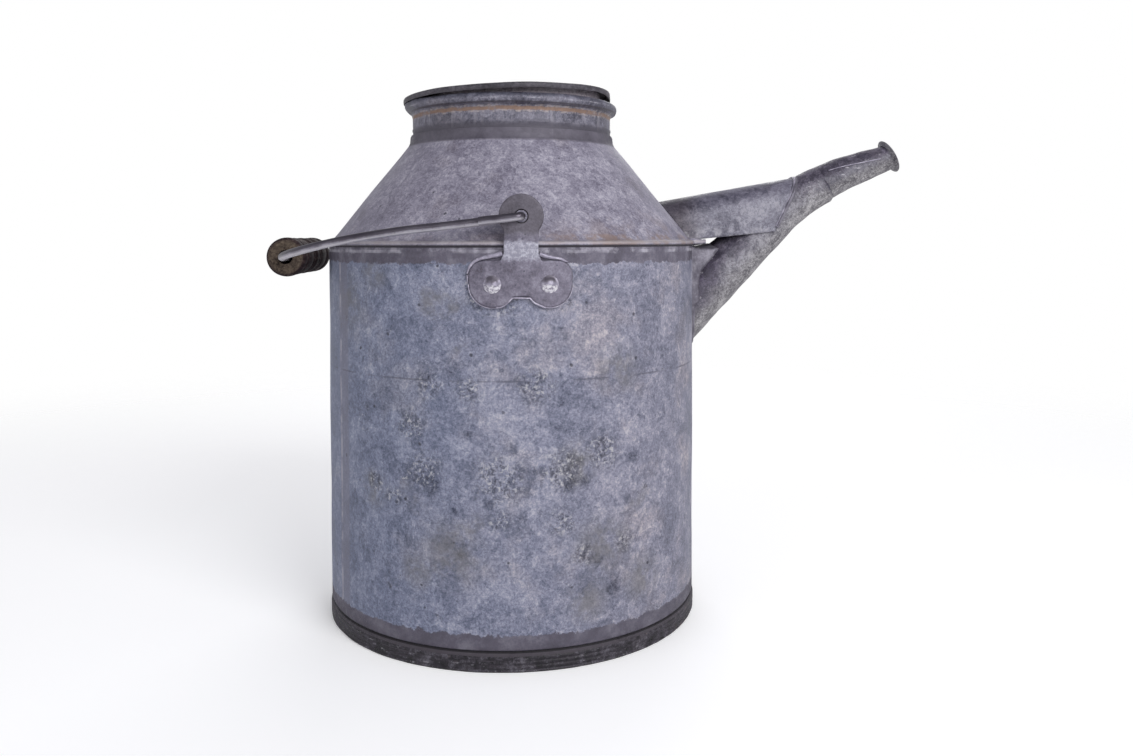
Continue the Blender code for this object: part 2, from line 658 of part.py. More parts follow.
def main():
    clear_scene()
    group = make_collection("water_can")
    tools = make_collection("cutters")

    zinc = make_material("galvanised_sheet", (0.42, 0.43, 0.46), 0.55, 0.5)
    dark_zinc = make_material("galvanised_dull", (0.30, 0.30, 0.33), 0.5, 0.55)
    lid_zinc = make_material("lid_sheet", (0.34, 0.34, 0.37), 0.5, 0.5)
    cast = make_material("cast_iron_tinned", (0.27, 0.26, 0.28), 0.6, 0.5)
    rivet_iron = make_material("rivet_iron", (0.45, 0.44, 0.47), 0.7, 0.4)
    wire_steel = make_material("bail_steel", (0.28, 0.26, 0.28), 0.8, 0.4)
    wood = make_material("turned_wood", (0.10, 0.07, 0.05), 0.0, 0.6)

    can = add_object("can_axis", None, group)
    can.location = (CAN_X, 0, 0)

    body = turned_sheet("body_shell", body_outline(), group, can, zinc)
    bottom = turned_sheet("bottom_pan", bottom_outline(), group, can, dark_zinc)
    shoulder = turned_sheet("shoulder_cone", shoulder_outline(), group, can, zinc)
    neck = turned_sheet("neck_collar", neck_outline(), group, can, zinc)

    lid_axis = add_object("lid_axis", None, group, can)
    contact = NECK_RADIUS + LID_SHIFT
    lid_height = NECK_TOP + GAP + SHEET + contact * math.sin(LID_TILT)
    lid_axis.location = (LID_SHIFT, 0, lid_height)
    lid_axis.rotation_euler = (0, -LID_TILT, 0)
    cover = turned_sheet("lid_cover", lid_cover_outline(), group, lid_axis, lid_zinc)
    cover.location = (LID_COVER_OFFSET, 0, 0)
    skirt = turned_sheet("lid_skirt", lid_skirt_outline(), group, lid_axis, lid_zinc)

    bore = make_spout_tube("spout_bore", tools, can, -SHEET, True)
    weld(bore)
    hide_tool(bore)
    boolean(body, bore)

    body_space = turned_solid(
        "body_space",
        [(0, SEAM_HEIGHT), (BODY_RADIUS + GAP, SEAM_HEIGHT), (BODY_RADIUS + GAP, 0), (0, 0)],
        tools, can)
    hide_tool(body_space)
    tube = make_spout_tube("spout_tube", group, can)
    tube.data.materials.append(dark_zinc)
    add_wall(tube, SHEET, -1)
    boolean(tube, body_space)

    tip = make_spout_tip("spout_tip", group, can, dark_zinc)

    brace = loft_strip("spout_brace", [brace_section(i / (BRACE_STATIONS - 1)) for i in range(BRACE_STATIONS)],
                       group, can, dark_zinc)
    add_wall(brace, SHEET, 1)
    hem = BODY_RADIUS + HEM_OVERHANG + GAP
    shoulder_space = turned_solid(
        "shoulder_space",
        [(0, COLLAR_FOOT), (COLLAR_RADIUS + 2 * GAP, COLLAR_FOOT),
         (BODY_RADIUS - SHEET + 2 * GAP, HEM_TOP + SHEET / 2 + GAP), (hem, HEM_TOP + SHEET / 2 + GAP),
         (hem, SEAM_HEIGHT - GAP), (BODY_RADIUS + GAP, SEAM_HEIGHT - GAP),
         (BODY_RADIUS + GAP, SEAM_HEIGHT / 2), (0, SEAM_HEIGHT / 2)],
        tools, can)
    hide_tool(shoulder_space)
    tube_space = make_spout_tube("tube_space", tools, can, GAP, True)
    weld(tube_space)
    hide_tool(tube_space)
    boolean(brace, shoulder_space)
    boolean(brace, tube_space)

    for side, place in ((-1, "front"), (1, "back")):
        ear = make_ear("ear_" + place, side, group, tools, can, cast)
        hole = across_tool("hinge_hole_" + place, EAR_HOLE_RADIUS, 0.02,
                           (0, side * EYE_FRONT, HINGE_HEIGHT), tools, can)
        boolean(ear, hole)
        for offset, hand in ((-1, "left"), (1, "right")):
            name = f"ear_{place}_rivet_{hand}"
            rivet = make_rivet(name, side, offset, group, can, rivet_iron)
            angle = rivet_angle(side, offset) + math.pi / 2
            place_at = (0, -BODY_RADIUS, SEAM_HEIGHT - RIVET_DROP)
            drill = across_tool(name + "_drill", RIVET_SHANK_RADIUS + GAP, 0.02, place_at, tools, can,
                                angle, RIVET_FACETS)
            boolean(ear, drill)
            boolean(body, drill)
            shade(rivet)
        shade(ear)

    bail_axis = add_object("bail_axis", None, group, can)
    bail_axis.location = (0, 0, HINGE_HEIGHT)
    bail_axis.rotation_euler = (0, -BAIL_DROOP, 0)
    wire = make_bail(group, bail_axis, wire_steel)

    grip_axis = add_object("grip_axis", None, group, bail_axis)
    grip_axis.location = (-BAIL_REACH, 0, 0)
    grip = turned_solid("bail_grip", grip_outline(), group, grip_axis, wood, GRIP_FACETS, closed=True)
    grip.rotation_euler = (math.pi / 2, 0, 0)

    for obj in (body, bottom, shoulder, neck, cover, skirt, tube, tip, brace, wire, grip):
        shade(obj)


main()
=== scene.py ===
# Looks of the galvanised water can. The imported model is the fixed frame: every piece
# made here stands for a node of it and rides on that node's body. Metres, +Z up.

import json
import math

import bmesh
import bpy
from mathutils import Matrix, Vector, noise


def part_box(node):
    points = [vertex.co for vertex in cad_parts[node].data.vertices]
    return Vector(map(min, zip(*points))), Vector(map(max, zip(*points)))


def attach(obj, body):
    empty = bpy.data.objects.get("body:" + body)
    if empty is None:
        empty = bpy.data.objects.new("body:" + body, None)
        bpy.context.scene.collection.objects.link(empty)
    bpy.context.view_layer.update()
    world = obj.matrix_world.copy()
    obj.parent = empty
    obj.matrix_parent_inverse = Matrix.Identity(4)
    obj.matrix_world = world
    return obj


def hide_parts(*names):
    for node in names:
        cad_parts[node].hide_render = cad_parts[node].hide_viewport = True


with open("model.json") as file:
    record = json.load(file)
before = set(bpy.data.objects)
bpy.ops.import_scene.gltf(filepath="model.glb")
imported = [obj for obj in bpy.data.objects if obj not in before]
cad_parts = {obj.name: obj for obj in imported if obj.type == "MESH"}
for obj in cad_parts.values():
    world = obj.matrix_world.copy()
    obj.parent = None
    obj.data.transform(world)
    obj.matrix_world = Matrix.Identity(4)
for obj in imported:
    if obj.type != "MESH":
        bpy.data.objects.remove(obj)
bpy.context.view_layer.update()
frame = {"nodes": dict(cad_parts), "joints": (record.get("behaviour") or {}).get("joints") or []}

# Places read from the frame
SHOULDER_LOW, SHOULDER_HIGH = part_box("shoulder_cone")
NECK_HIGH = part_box("neck_collar")[1]
CAN_X = (SHOULDER_LOW.x + SHOULDER_HIGH.x) / 2
SEAM = SHOULDER_LOW.z
HEM_RADIUS = SHOULDER_HIGH.y
SHOULDER_TOP = SHOULDER_HIGH.z
CURL_TOP = NECK_HIGH.z
CURL_OUTSIDE = NECK_HIGH.y
JOINTS = {joint["name"]: joint for joint in frame["joints"]}
HINGE = Vector(JOINTS["bail_swing"]["pos_m"])
GRIP_CENTRE = Vector(JOINTS["grip_spin"]["pos_m"])
LID_UP = Vector(JOINTS["lid_lift"]["axis"])

# Sheet metal
SHEET = 0.0006
ROUND = 240                   # facets round the can
BODY_RADIUS = HEM_RADIUS - 0.002
FOOT_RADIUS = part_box("bottom_pan")[1].y
FOOT_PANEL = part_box("bottom_pan")[1].z
FOOT_HEM = 0.0079
FOOT_RIDGES = 3
FOOT_GROOVE = 0.0101
FOOT_BAND_TOP = 0.0176
SEAM_BAND_DEPTH = 0.008
LAP_Y = -0.0464               # the wall's lap, on its -X side
COLLAR_FOOT = SEAM + 0.0554
COLLAR_RADIUS = 0.0579
NECK_RADIUS = 0.05595
COLLAR_TOP_RADIUS = NECK_RADIUS + 0.001
CURL_RADIUS = 0.0029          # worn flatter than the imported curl
CURL_CENTRE = CURL_TOP - 0.0053
RIM_RADIUS = CURL_OUTSIDE - CURL_RADIUS
LID_RADIUS = 0.0585
LID_EDGE = 0.003
LID_PANEL_RADIUS = 0.048
LID_PANEL_RISE = 0.0008
SKIRT_RADIUS = 0.0508
SKIRT_DEPTH = 0.019
LID_COVER_OFFSET = -0.002
LID_SHIFT = -0.0007

# Spout, as in the part
SPOUT_SLOPE = math.radians(42.0)
TIP_SLOPE = math.radians(19.7)
SPOUT_CORNER = Vector((CAN_X + 0.1756, 0, SEAM + 0.0345))
BEND_TANGENT = 0.0243
ROOT_DISTANCE = 0.13
ROOT_RADIUS = 0.0206
BEND_RADIUS = 0.0116
TUBE_END = ROOT_DISTANCE + 0.0062
TUBE_OVERLAP = 0.01
TIP_INSERT = 0.008
TIP_LENGTH = 0.0507
TIP_TAPER = 1.5
MOUTH_RADIUS = 0.0074
LIP_RADIUS = 0.0102
LIP_FLARE = 0.0022
LIP_TURN = math.radians(9)
SPOUT_COLUMNS = 96

# Ears, rivets and bail
RIVET_SPACING = 0.0264
RIVET_DROP = 0.01785
RIVET_HEAD = 0.0042
LOBE_RADIUS = 0.01115
LOBE_CORNER = 0.007
EYE_RADIUS = 0.0033
EYE_SHRINK = 0.0008
EYE_REACH = 0.007            # how far from the hole the eye is drawn in
WIRE_RADIUS = 0.002
BAIL_DROOP = math.radians(9.4)
BAIL_REACH = (HINGE - GRIP_CENTRE).length

# The photograph: a level-ish camera a little above the shoulder seam, aimed slightly down.
PHOTO_WIDTH = 1133
PHOTO_HEIGHT = 756
FOCAL_PIXELS = 974
AXIS_ROW = 267.8              # image row of the optical axis
CAMERA_DISTANCE = 0.5588      # from the can's axis
CAMERA_SIDE = 0.0309          # right of the can's axis
CAMERA_HEIGHT = SEAM + 0.0035
CAMERA_PITCH = math.radians(1.71)
CAMERA_ROLL = math.radians(-0.13)
CAN_TURN = math.radians(5.35)  # how far the can is turned in the photograph

# Stage
LIGHT_AROUND = (0.68, 0.68, 0.7)
LIGHT_ABOVE = (0.34, 0.34, 0.37)
FLOOR_FADE = (0.35, 1.1)     # from its middle: still whole, and gone
FLOOR_LIFT = 0.24             # what the camera sees on top of the light on it
WHITE = (1, 1, 1, 1)

AXIS_X = Matrix.Translation((CAN_X, 0, 0))


def clamp(value):
    return min(1.0, max(0.0, value))


def ripple(point, size, seed=0.0):
    """Smooth noise from -1 to 1 with bumps about size across."""
    return noise.noise(Vector(point) / size + Vector((seed, seed * 1.7, seed * 0.6)))


def dent(a, r, z, size, seed):
    """Smooth noise on a turned surface."""
    return ripple((math.cos(a) * r, math.sin(a) * r, z), size, seed)


def can_point(angle, r, z):
    """Point at an angle round the can and r from its axis."""
    return Vector((CAN_X + r * math.cos(angle), r * math.sin(angle), z))


def link(obj, body, slot, material, *nodes):
    """Puts a finished piece in the scene, on its body and in place of its nodes."""
    if obj.name not in bpy.context.scene.collection.objects:
        bpy.context.scene.collection.objects.link(obj)
    obj.data.materials.clear()
    obj.data.materials.append(MATERIALS[material])
    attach(obj, body)
    if nodes:
        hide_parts(*nodes)


def fix_normals(mesh, merge=1e-6):
    edit = bmesh.new()
    edit.from_mesh(mesh)
    bmesh.ops.remove_doubles(edit, verts=edit.verts, dist=merge)
    bmesh.ops.recalc_face_normals(edit, faces=edit.faces)
    edit.to_mesh(mesh)
    edit.free()


def grid_mesh(name, rows, wrap_rows=False, wrap_columns=False, sharp=math.radians(40)):
    """Quads through rows of points, each row as long as the first."""
    width = len(rows[0])
    faces = []
    row_count = len(rows) if wrap_rows else len(rows) - 1
    column_count = width if wrap_columns else width - 1
    for i in range(row_count):
        a = i * width
        b = (i + 1) % len(rows) * width
        for j in range(column_count):
            k = (j + 1) % width
            faces.append((a + j, a + k, b + k, b + j))
    mesh = bpy.data.meshes.new(name)
    mesh.from_pydata([tuple(p) for row in rows for p in row], [], faces)
    mesh.validate()
    fix_normals(mesh)
    mesh.shade_smooth()
    mesh.set_sharp_from_angle(angle=sharp)
    return bpy.data.objects.new(name, mesh)


def add_wall(obj, thickness=SHEET, offset=-1.0):
    wall = obj.modifiers.new("Wall", "SOLIDIFY")
    wall.thickness = thickness
    wall.offset = offset
    wall.use_even_offset = True


def densify(points, step):
    """Adds points so that no run of an outline is longer than step."""
    out = [points[0]]
    for a, b in zip(points, points[1:]):
        count = max(1, round(math.dist(a, b) / step))
        for i in range(1, count + 1):
            out.append(tuple(a[k] + (b[k] - a[k]) * i / count for k in range(len(a))))
    return out


def arc(centre, radius, first, last, spans):
    """(r, z) points on a circle, angles in degrees."""
    points = []
    for i in range(spans + 1):
        a = math.radians(first + (last - first) * i / spans)
        points.append((centre[0] + radius * math.cos(a), centre[1] + radius * math.sin(a)))
    return points


def turned(name, outline, segments=ROUND, closed=False, shape=None, place=AXIS_X):
    """Surface turned round Z. shape(angle, r, z) returns a dented r and z."""
    rows = []
    for r, z in outline:
        row = []
        for j in range(segments):
            a = math.tau * j / segments
            rr, zz = shape(a, r, z) if shape else (r, z)
            row.append(place @ Vector((rr * math.cos(a), rr * math.sin(a), zz)))
        rows.append(row)
    return grid_mesh(name, rows, wrap_rows=closed, wrap_columns=True)


def tube_along(name, path, radii, sides=16, shape=None):
    """Round tube with closed ends; shape(angle) scales its radius."""
    rows = []
    up = Vector((0, 0, 1))
    for i, place in enumerate(path):
        ahead = path[min(i + 1, len(path) - 1)] - path[max(i - 1, 0)]
        ahead.normalize()
        side = ahead.cross(up)
        if side.length < 0.1:
            side = ahead.cross(Vector((1, 0, 0)))
        side.normalize()
        top = side.cross(ahead)
        row = []
        for j in range(sides):
            a = math.tau * j / sides
            r = radii[i] * (shape(a) if shape else 1)
            row.append(place + side * r * math.cos(a) + top * r * math.sin(a))
        rows.append(row)
    obj = grid_mesh(name, rows, wrap_columns=True)
    edit = bmesh.new()
    edit.from_mesh(obj.data)
    bmesh.ops.holes_fill(edit, edges=[e for e in edit.edges if e.is_boundary], sides=0)
    bmesh.ops.recalc_face_normals(edit, faces=edit.faces)
    edit.to_mesh(obj.data)
    edit.free()
    obj.data.shade_smooth()
    obj.data.set_sharp_from_angle(angle=math.radians(50))
    return obj


def smooth_path(points, step):
    """Points every step along a Catmull-Rom curve through the given ones."""
    pts = [Vector(p) for p in points]
    pts = [pts[0] * 2 - pts[1], *pts, pts[-1] * 2 - pts[-2]]
    out = [pts[1]]
    for i in range(1, len(pts) - 2):
        p0, p1, p2, p3 = pts[i - 1:i + 3]
        count = max(1, round((p2 - p1).length / step))
        for k in range(1, count + 1):
            t = k / count
            out.append(0.5 * (2 * p1 + (p2 - p0) * t + (2 * p0 - 5 * p1 + 4 * p2 - p3) * t * t
                              + (3 * p1 - p0 - 3 * p2 + p3) * t ** 3))
    return out


class Value:
    """Output of a shader node. Arithmetic on it adds nodes."""

    def __init__(self, tree, socket):
        self.tree = tree
        self.socket = socket

    def __add__(self, other):
        return self.tree.math("ADD", self, other)

    def __sub__(self, other):
        return self.tree.math("SUBTRACT", self, other)

    def __mul__(self, other):
        return self.tree.math("MULTIPLY", self, other)

    def __abs__(self):
        return self.tree.math("ABSOLUTE", self, 0.0)

    def step(self, low, high):
        """0 at low, 1 at high, smooth between. low may be above high."""
        return self.tree.add("ShaderNodeMapRange", {"Value": self, "From Min": low, "From Max": high},
                             interpolation_type="SMOOTHSTEP")

    def between(self, low, high, soft):
        return self.step(low - soft, low) * self.step(high + soft, high)

    def ramp(self, *stops):
        """Colour for the value, from (place, colour) stops."""
        out = self.tree.add("ShaderNodeValToRGB", {"Fac": self})
        band = out.socket.node.color_ramp
        while len(band.elements) < len(stops):
            band.elements.new(0.5)
        for element, (place, colour) in zip(band.elements, stops):
            element.position = place
            element.color = (*colour, 1)
        return out

    def coat(self, *layers):
        """This colour with each (share, colour) laid over it in turn."""
        out = self
        for share, colour in layers:
            out = self.tree.mix(share, out, colour)
        return out

    def tint(self, share, tone):
        """This colour, multiplied by the tone where share is 1."""
        return self.coat((share, self.tree.mix(1.0, self, tone, "MULTIPLY")))


class Tree:
    """A material, with short ways to build its nodes."""

    def __init__(self, name):
        self.mat = bpy.data.materials.new(name)
        self.mat.use_nodes = True
        self.tree = self.mat.node_tree
        self.shader = self.tree.nodes["Principled BSDF"]
        self.coords = self.add("ShaderNodeTexCoord", output="Object")
        self.x, self.y, self.z = (self.axis(self.coords, index) for index in range(3))

    def add(self, kind, sockets=None, output=0, **settings):
        node = self.tree.nodes.new(kind)
        for key, value in settings.items():
            setattr(node, key, value)
        for key, value in (sockets or {}).items():
            self.put(node.inputs[key], value)
        return Value(self, node.outputs[output])

    def put(self, socket, value):
        if isinstance(value, Value):
            self.tree.links.new(value.socket, socket)
        elif hasattr(socket.default_value, "__len__") and len(socket.default_value) == 4:
            socket.default_value = (*value[:3], 1)
        else:
            socket.default_value = value

    def math(self, operation, a, b):
        return self.add("ShaderNodeMath", {0: a, 1: b}, operation=operation)

    def vector(self, operation, a, b, output=0):
        return self.add("ShaderNodeVectorMath", {0: a, 1: b}, output, operation=operation)

    def axis(self, vector, index):
        return self.add("ShaderNodeSeparateXYZ", {0: vector}, index)

    def stretched(self, *shares):
        """Coordinates that draw a pattern out along the axes whose share is below 1."""
        return self.vector("MULTIPLY", self.coords, shares)

    def most(self, *values):
        out = values[0]
        for value in values[1:]:
            out = self.math("MAXIMUM", out, value)
        return out

    def total(self, base, *shares):
        """base plus each (value, weight), the value taken about its middle of one half."""
        out = base
        for value, weight in shares:
            out = self.add("ShaderNodeMath", {0: value, 1: weight, 2: out}, operation="MULTIPLY_ADD")
            out = out - weight / 2
        return out

    def mix(self, share, a, b, blend="MIX"):
        return self.add("ShaderNodeMix", {0: share, 6: a, 7: b}, 2, data_type="RGBA", blend_type=blend)

    def noise(self, size, detail=3.0, roughness=0.5, distortion=0.0, where=None, output=0):
        return self.add("ShaderNodeTexNoise", {
            "Vector": where or self.coords, "Scale": 1 / size, "Detail": detail,
            "Roughness": roughness, "Distortion": distortion}, output)

    def patches(self, low, high, size, detail=3.0, roughness=0.5, **more):
        """Noise cut to patches: 0 where it is at low, 1 where it is at high."""
        return self.noise(size, detail, roughness, **more).step(low, high)

    def warp(self, size, amount):
        """Coordinates pushed about by noise."""
        push = self.vector("SUBTRACT", self.noise(size, output="Color"), (0.5, 0.5, 0.5))
        push = self.vector("MULTIPLY", push, (amount, amount, amount))
        return self.vector("ADD", self.coords, push)

    def cells(self, size, where):
        """Random colour of each cell, and the distance from its middle."""
        colour = self.add("ShaderNodeTexVoronoi", {"Vector": where, "Scale": 1 / size}, "Color")
        return colour, Value(self, colour.socket.node.outputs["Distance"])

    def first(self, colour):
        return self.add("ShaderNodeSeparateColor", {0: colour})

    def upper(self, low, high, ragged=0.5):
        """1 where the surface faces up, with a ragged edge."""
        rise = self.axis(self.add("ShaderNodeTexCoord", output="Normal"), 2)
        return self.total(rise, (self.noise(0.012, 5.0, 0.65), ragged)).step(low, high)

    def feathers(self, cell_colour, size):
        """Fine strokes that run another way in each crystal."""
        angles = self.vector("MULTIPLY", cell_colour, (6.3, 6.3, 6.3))
        turned_way = self.add("ShaderNodeVectorRotate", {"Vector": self.coords, "Rotation": angles},
                              rotation_type="EULER_XYZ")
        return self.noise(size, 4.0, 0.6, where=self.vector("MULTIPLY", turned_way, (1.0, 0.22, 1.0)))

    def near(self, centre, radius, soft, where=None):
        """1 within radius of a point, falling to 0 over soft."""
        gap = self.vector("DISTANCE", where or self.coords, tuple(centre), "Value")
        return gap.step(radius + soft, radius)

    def spots(self, places, ragged=0.5, size=0.004):
        """Ragged marks on the wall: (angle in degrees, depth below the seam, radius), both in mm."""
        where = self.warp(size, 0.006)
        marks = []
        for angle, depth, radius in places:
            r = radius / 1000
            centre = can_point(math.radians(angle), BODY_RADIUS, SEAM - depth / 1000)
            marks.append(self.near(centre, r * (1 - ragged), r * 2 * ragged, where))
        return self.most(*marks)

    def bump(self, height, distance, strength=0.6, normal=None):
        sockets = {"Height": height, "Distance": distance, "Strength": strength}
        if normal:
            sockets["Normal"] = normal
        return self.add("ShaderNodeBump", sockets, "Normal")

    def grained(self, normal, depth=0.00008):
        """The normal with a fine grain on it."""
        return self.bump(self.noise(0.0009, 3.0, 0.7), depth, normal=normal)

    def finish(self, colour, roughness, metallic, normal, specular=0.5):
        self.put(self.shader.inputs["Base Color"], colour)
        self.put(self.shader.inputs["Roughness"], roughness)
        self.put(self.shader.inputs["Normal"], normal)
        self.shader.inputs["Metallic"].default_value = metallic
        self.shader.inputs["Specular IOR Level"].default_value = specular
        return self.mat


# Colours, linear
OLIVE = (0.15, 0.14, 0.132)
PIT = (0.045, 0.045, 0.062)
FLECK = (0.64, 0.625, 0.635)
RUST = (0.3, 0.19, 0.135)
RUST_DARK = (0.13, 0.082, 0.066)
SOLDER_DARK = (0.07, 0.064, 0.084)
SOLDER_DULL = (0.118, 0.108, 0.144)
SOLDER_LIGHT = (0.29, 0.278, 0.33)
SOLDER_TONES = (SOLDER_DARK, (0.145, 0.135, 0.17), (0.34, 0.325, 0.37))
# Purple tint used as painted shade on the spout's upper side.
PURPLE_SHADE_TINT = (0.5, 0.45, 0.56)

# Marks on the wall, read from the photograph
FLECK_PATCHES = ((-115, 66, 6), (-104, 68, 5.5), (-86, 66, 8), (-121, 86, 7), (-117, 107, 8), (-96, 110, 11),
                 (-79, 107, 10), (-67, 99, 8.5), (-134, 116, 5), (-96, 130, 5), (-79, 131, 6), (-73, 148, 5),
                 (-60, 145, 5), (-127, 122, 5))
BLOTCHES = ((-98.7, 121.6, 2.6), (-103, 119, 1.7), (-115, 115, 4.6), (-90, 127.3, 2.4), (-104, 89.4, 2.2),
            (-85, 106, 3.2), (-72, 112.5, 3.0), (-59, 125, 3.0), (-69, 152, 3.4), (-64, 167, 3.6),
            (-77, 113, 3.2), (-124, 88, 2.4), (-92, 96, 2.2), (-108, 126, 1.8), (-57, 103, 4.0))
STAINS = ((-109, 147, 13), (-119, 156, 7), (-67, 145, 12), (-53, 165, 10), (-72, 171, 9), (-147, 28, 12),
          (-134, 12, 8), (-62, 60, 10), (-75, 104, 9), (-135, 120, 8))
PALE_PATCHES = ((-112, 48, 6), (-127, 160, 4), (-94, 163, 9), (-104, 168, 9), (-79, 165, 8), (-61, 85, 10),
                (-71, 40, 9), (-53, 137, 8), (-98, 30, 10), (-107, 135, 6), (-84, 60, 7))


def spangle(tree, size, contrast):
    """Crystal patches of weathered zinc, as a value about one half."""
    crystal, _ = tree.cells(size, tree.warp(size * 1.3, size * 1.1))
    small, _ = tree.cells(size * 0.4, tree.warp(size * 0.5, size * 0.5))
    leaf = tree.patches(0.47, 0.51, size * 1.1, 7.0, 0.62, distortion=0.8)
    chip = tree.patches(0.53, 0.56, size * 0.5, 6.0, 0.68, distortion=1.0)
    cloud = tree.noise(size * 2.6, 5.0, 0.62)
    fine = tree.noise(0.0012, 6.0, 0.9)
    grain = tree.noise(0.0026, 5.0, 0.8, 0.6)
    value = tree.total(0.5, (tree.first(crystal), 0.28 * contrast), (tree.first(small), 0.22 * contrast),
                       (leaf, 0.2 * contrast), (chip, 0.2 * contrast), (cloud, 0.35 * contrast),
                       (fine, 2.0), (grain, 1.3), (tree.feathers(crystal, 0.0018), 0.45 * contrast))
    vein = abs(tree.noise(size * 0.7, 4.0, 0.6, 1.5) - 0.5).step(0.007, 0.002)
    return value - vein * cloud.step(0.5, 0.42) * (0.22 * contrast)


def add_specks(tree, colour, gate):
    """Corrosion: pale and dark specks side by side where the gate is open."""
    grit = tree.noise(0.0019, 5.0, 0.72, 0.4)
    pale = grit.step(0.545, 0.585) * gate
    dark = grit.step(0.475, 0.435) * gate
    return colour.coat((dark * 0.75, PIT), (pale * 0.6, FLECK)), pale - dark


def add_pits(tree, colour, size, share):
    """Scattered dark pinholes."""
    pick, gap = tree.cells(size, tree.warp(0.003, 0.0015))
    dots = gap.step(0.13, 0.07) * tree.first(pick).step(share, share + 0.02)
    return colour.coat((dots * 0.8, PIT)), dots


def add_rust(tree, colour, mask, size=0.003):
    return colour.coat((mask, tree.mix(tree.noise(size, 4.0, 0.6), RUST_DARK, RUST)))


def wall_stains_and_painted_light(tree, colour):
    """Bluer by the grip, with painted light that leaves the grip side darker and the spout side paler, and
    warm and olive stains.
    """
    # Painted light: the wall is darker toward the grip and paler toward the spout, with a bluish stain by the
    # grip.
    side = (tree.x + tree.total(0.0, (tree.noise(0.05), 0.08))).step(CAN_X - 0.09, CAN_X + 0.07)
    colour = tree.mix(1.0, colour, tree.mix(side, (1.02, 1.08, 1.17), (1.25, 1.19, 1.17)), "MULTIPLY")
    colour = colour.tint(tree.patches(0.48, 0.64, 0.04, 5.0, 0.65) * 0.55, (1.1, 1.01, 0.9))
    stains = tree.most(tree.spots(STAINS, 0.8, 0.012), tree.patches(0.62, 0.72, 0.05, 5.0, 0.6))
    return colour.coat((stains * tree.patches(0.32, 0.6, 0.009, 5.0, 0.7) * 0.55, OLIVE))


def fleck_gate(tree):
    """Where the wall is corroded: the patches of the photograph, some more, and round the ears."""
    gate = tree.most(tree.spots(FLECK_PATCHES, 0.6, 0.006), tree.patches(0.655, 0.7, 0.026, 4.0, 0.6))
    gate = gate * tree.patches(0.4, 0.5, 0.005, 5.0, 0.75)
    lobes = []
    for side in (-1, 1):
        for x in (-RIVET_SPACING / 2, 0.0, RIVET_SPACING / 2):
            centre = (CAN_X + x, side * BODY_RADIUS, SEAM - RIVET_DROP - 0.001)
            lobes.append(tree.near(centre, 0.0125, 0.0035))
    return tree.most(gate, tree.most(*lobes) * tree.patches(0.44, 0.6, 0.007, 4.0, 0.65) * 0.9)


def wall_bands(tree, colour):
    """Soldered lap by the grip with a painted highlight on its ridge, wiped bands under the shoulder and over
    the foot, a painted highlight just below the hem with painted shade right under it, and painted shade in
    the foot groove and below it.
    """
    by_grip = tree.x.step(CAN_X, CAN_X - 0.02)
    lap = tree.y.between(LAP_Y - 0.0075, LAP_Y + 0.0004, 0.0015) * by_grip
    # Painted highlight: a light line along the lap's ridge.
    ridge = tree.y.between(LAP_Y - 0.0008, LAP_Y + 0.0008, 0.0005) * by_grip
    ridge = ridge * tree.patches(0.4, 0.56, 0.012, 4.0, 0.6)
    high = tree.total(tree.z, (tree.noise(0.006, 6.0, 0.75), 0.0085))
    top = high.step(SEAM - SEAM_BAND_DEPTH - 0.0004, SEAM - SEAM_BAND_DEPTH)
    low = high.step(FOOT_BAND_TOP + 0.0004, FOOT_BAND_TOP)
    cloud = tree.total(0.5, (tree.noise(0.014, 5.0, 0.65), 1.3), (tree.noise(0.0012, 4.0, 0.8), 0.5))
    dull = cloud.ramp((0.2, SOLDER_DARK), (0.5, SOLDER_DULL), (0.95, SOLDER_LIGHT))
    # Painted highlight: bright patches and a glint line on the wall just below the hem.
    edge = high.step(SEAM - 0.0036, SEAM - 0.0022) * tree.patches(0.46, 0.62, 0.01, 6.0, 0.7)
    glint = tree.z.between(SEAM - 0.003, SEAM - 0.002, 0.0005) * tree.patches(0.42, 0.6, 0.02)
    return colour.coat(
        (lap * 0.5, (0.185, 0.176, 0.225)),
        (ridge * 0.7, (0.4, 0.39, 0.45)),
        (tree.most(top, low), dull),
        (edge * 0.7, (0.36, 0.345, 0.4)),
        (glint * 0.7, (0.5, 0.485, 0.55)),
        # Painted shade on the wall right under the hem.
        (tree.z.step(SEAM - 0.0009, SEAM - 0.0004), (0.045, 0.04, 0.052)),
        (low * 0.25, SOLDER_DARK),
        # Painted shade: near black in the foot groove and darker on the wall below it.
        (tree.z.between(FOOT_GROOVE - 0.0007, FOOT_GROOVE + 0.0003, 0.0003), (0.016, 0.014, 0.018)),
        (tree.z.step(FOOT_GROOVE - 0.0006, FOOT_GROOVE - 0.001), (0.06, 0.052, 0.064)))


def body_material():
    tree = Tree("body_zinc")
    blotch = tree.most(tree.spots(BLOTCHES, 0.4, 0.003), tree.patches(0.71, 0.75, 0.011, distortion=0.5))
    value = spangle(tree, 0.017, 0.62) + tree.spots(PALE_PATCHES, 0.25) * 0.1 - blotch * 0.3
    colour = value.ramp((0.0, (0.062, 0.068, 0.1)), (0.28, (0.122, 0.132, 0.184)),
                        (0.5, (0.185, 0.194, 0.257)), (0.72, (0.272, 0.278, 0.34)), (1.0, (0.42, 0.415, 0.46)))
    colour, grit = add_specks(tree, wall_stains_and_painted_light(tree, colour), fleck_gate(tree))
    colour, dots = add_pits(tree, colour, 0.008, 0.72)
    # A faint score line round the middle of the wall
    score = tree.z.between(SEAM - 0.064, SEAM - 0.0636, 0.0004) * tree.patches(0.42, 0.55, 0.02) * 0.5
    colour = wall_bands(tree, colour.coat((score, (0.085, 0.085, 0.115))))
    relief = tree.total(0.0, (value, 0.35), (tree.noise(0.0045, 4.0, 0.6), 0.5), (grit, 0.5))
    relief = relief - (dots * 0.8 + score)
    normal = tree.grained(tree.bump(relief, 0.0006, 0.7))
    return tree.finish(colour, value.step(-1.0, 1.7), 0.2, normal, 0.35)


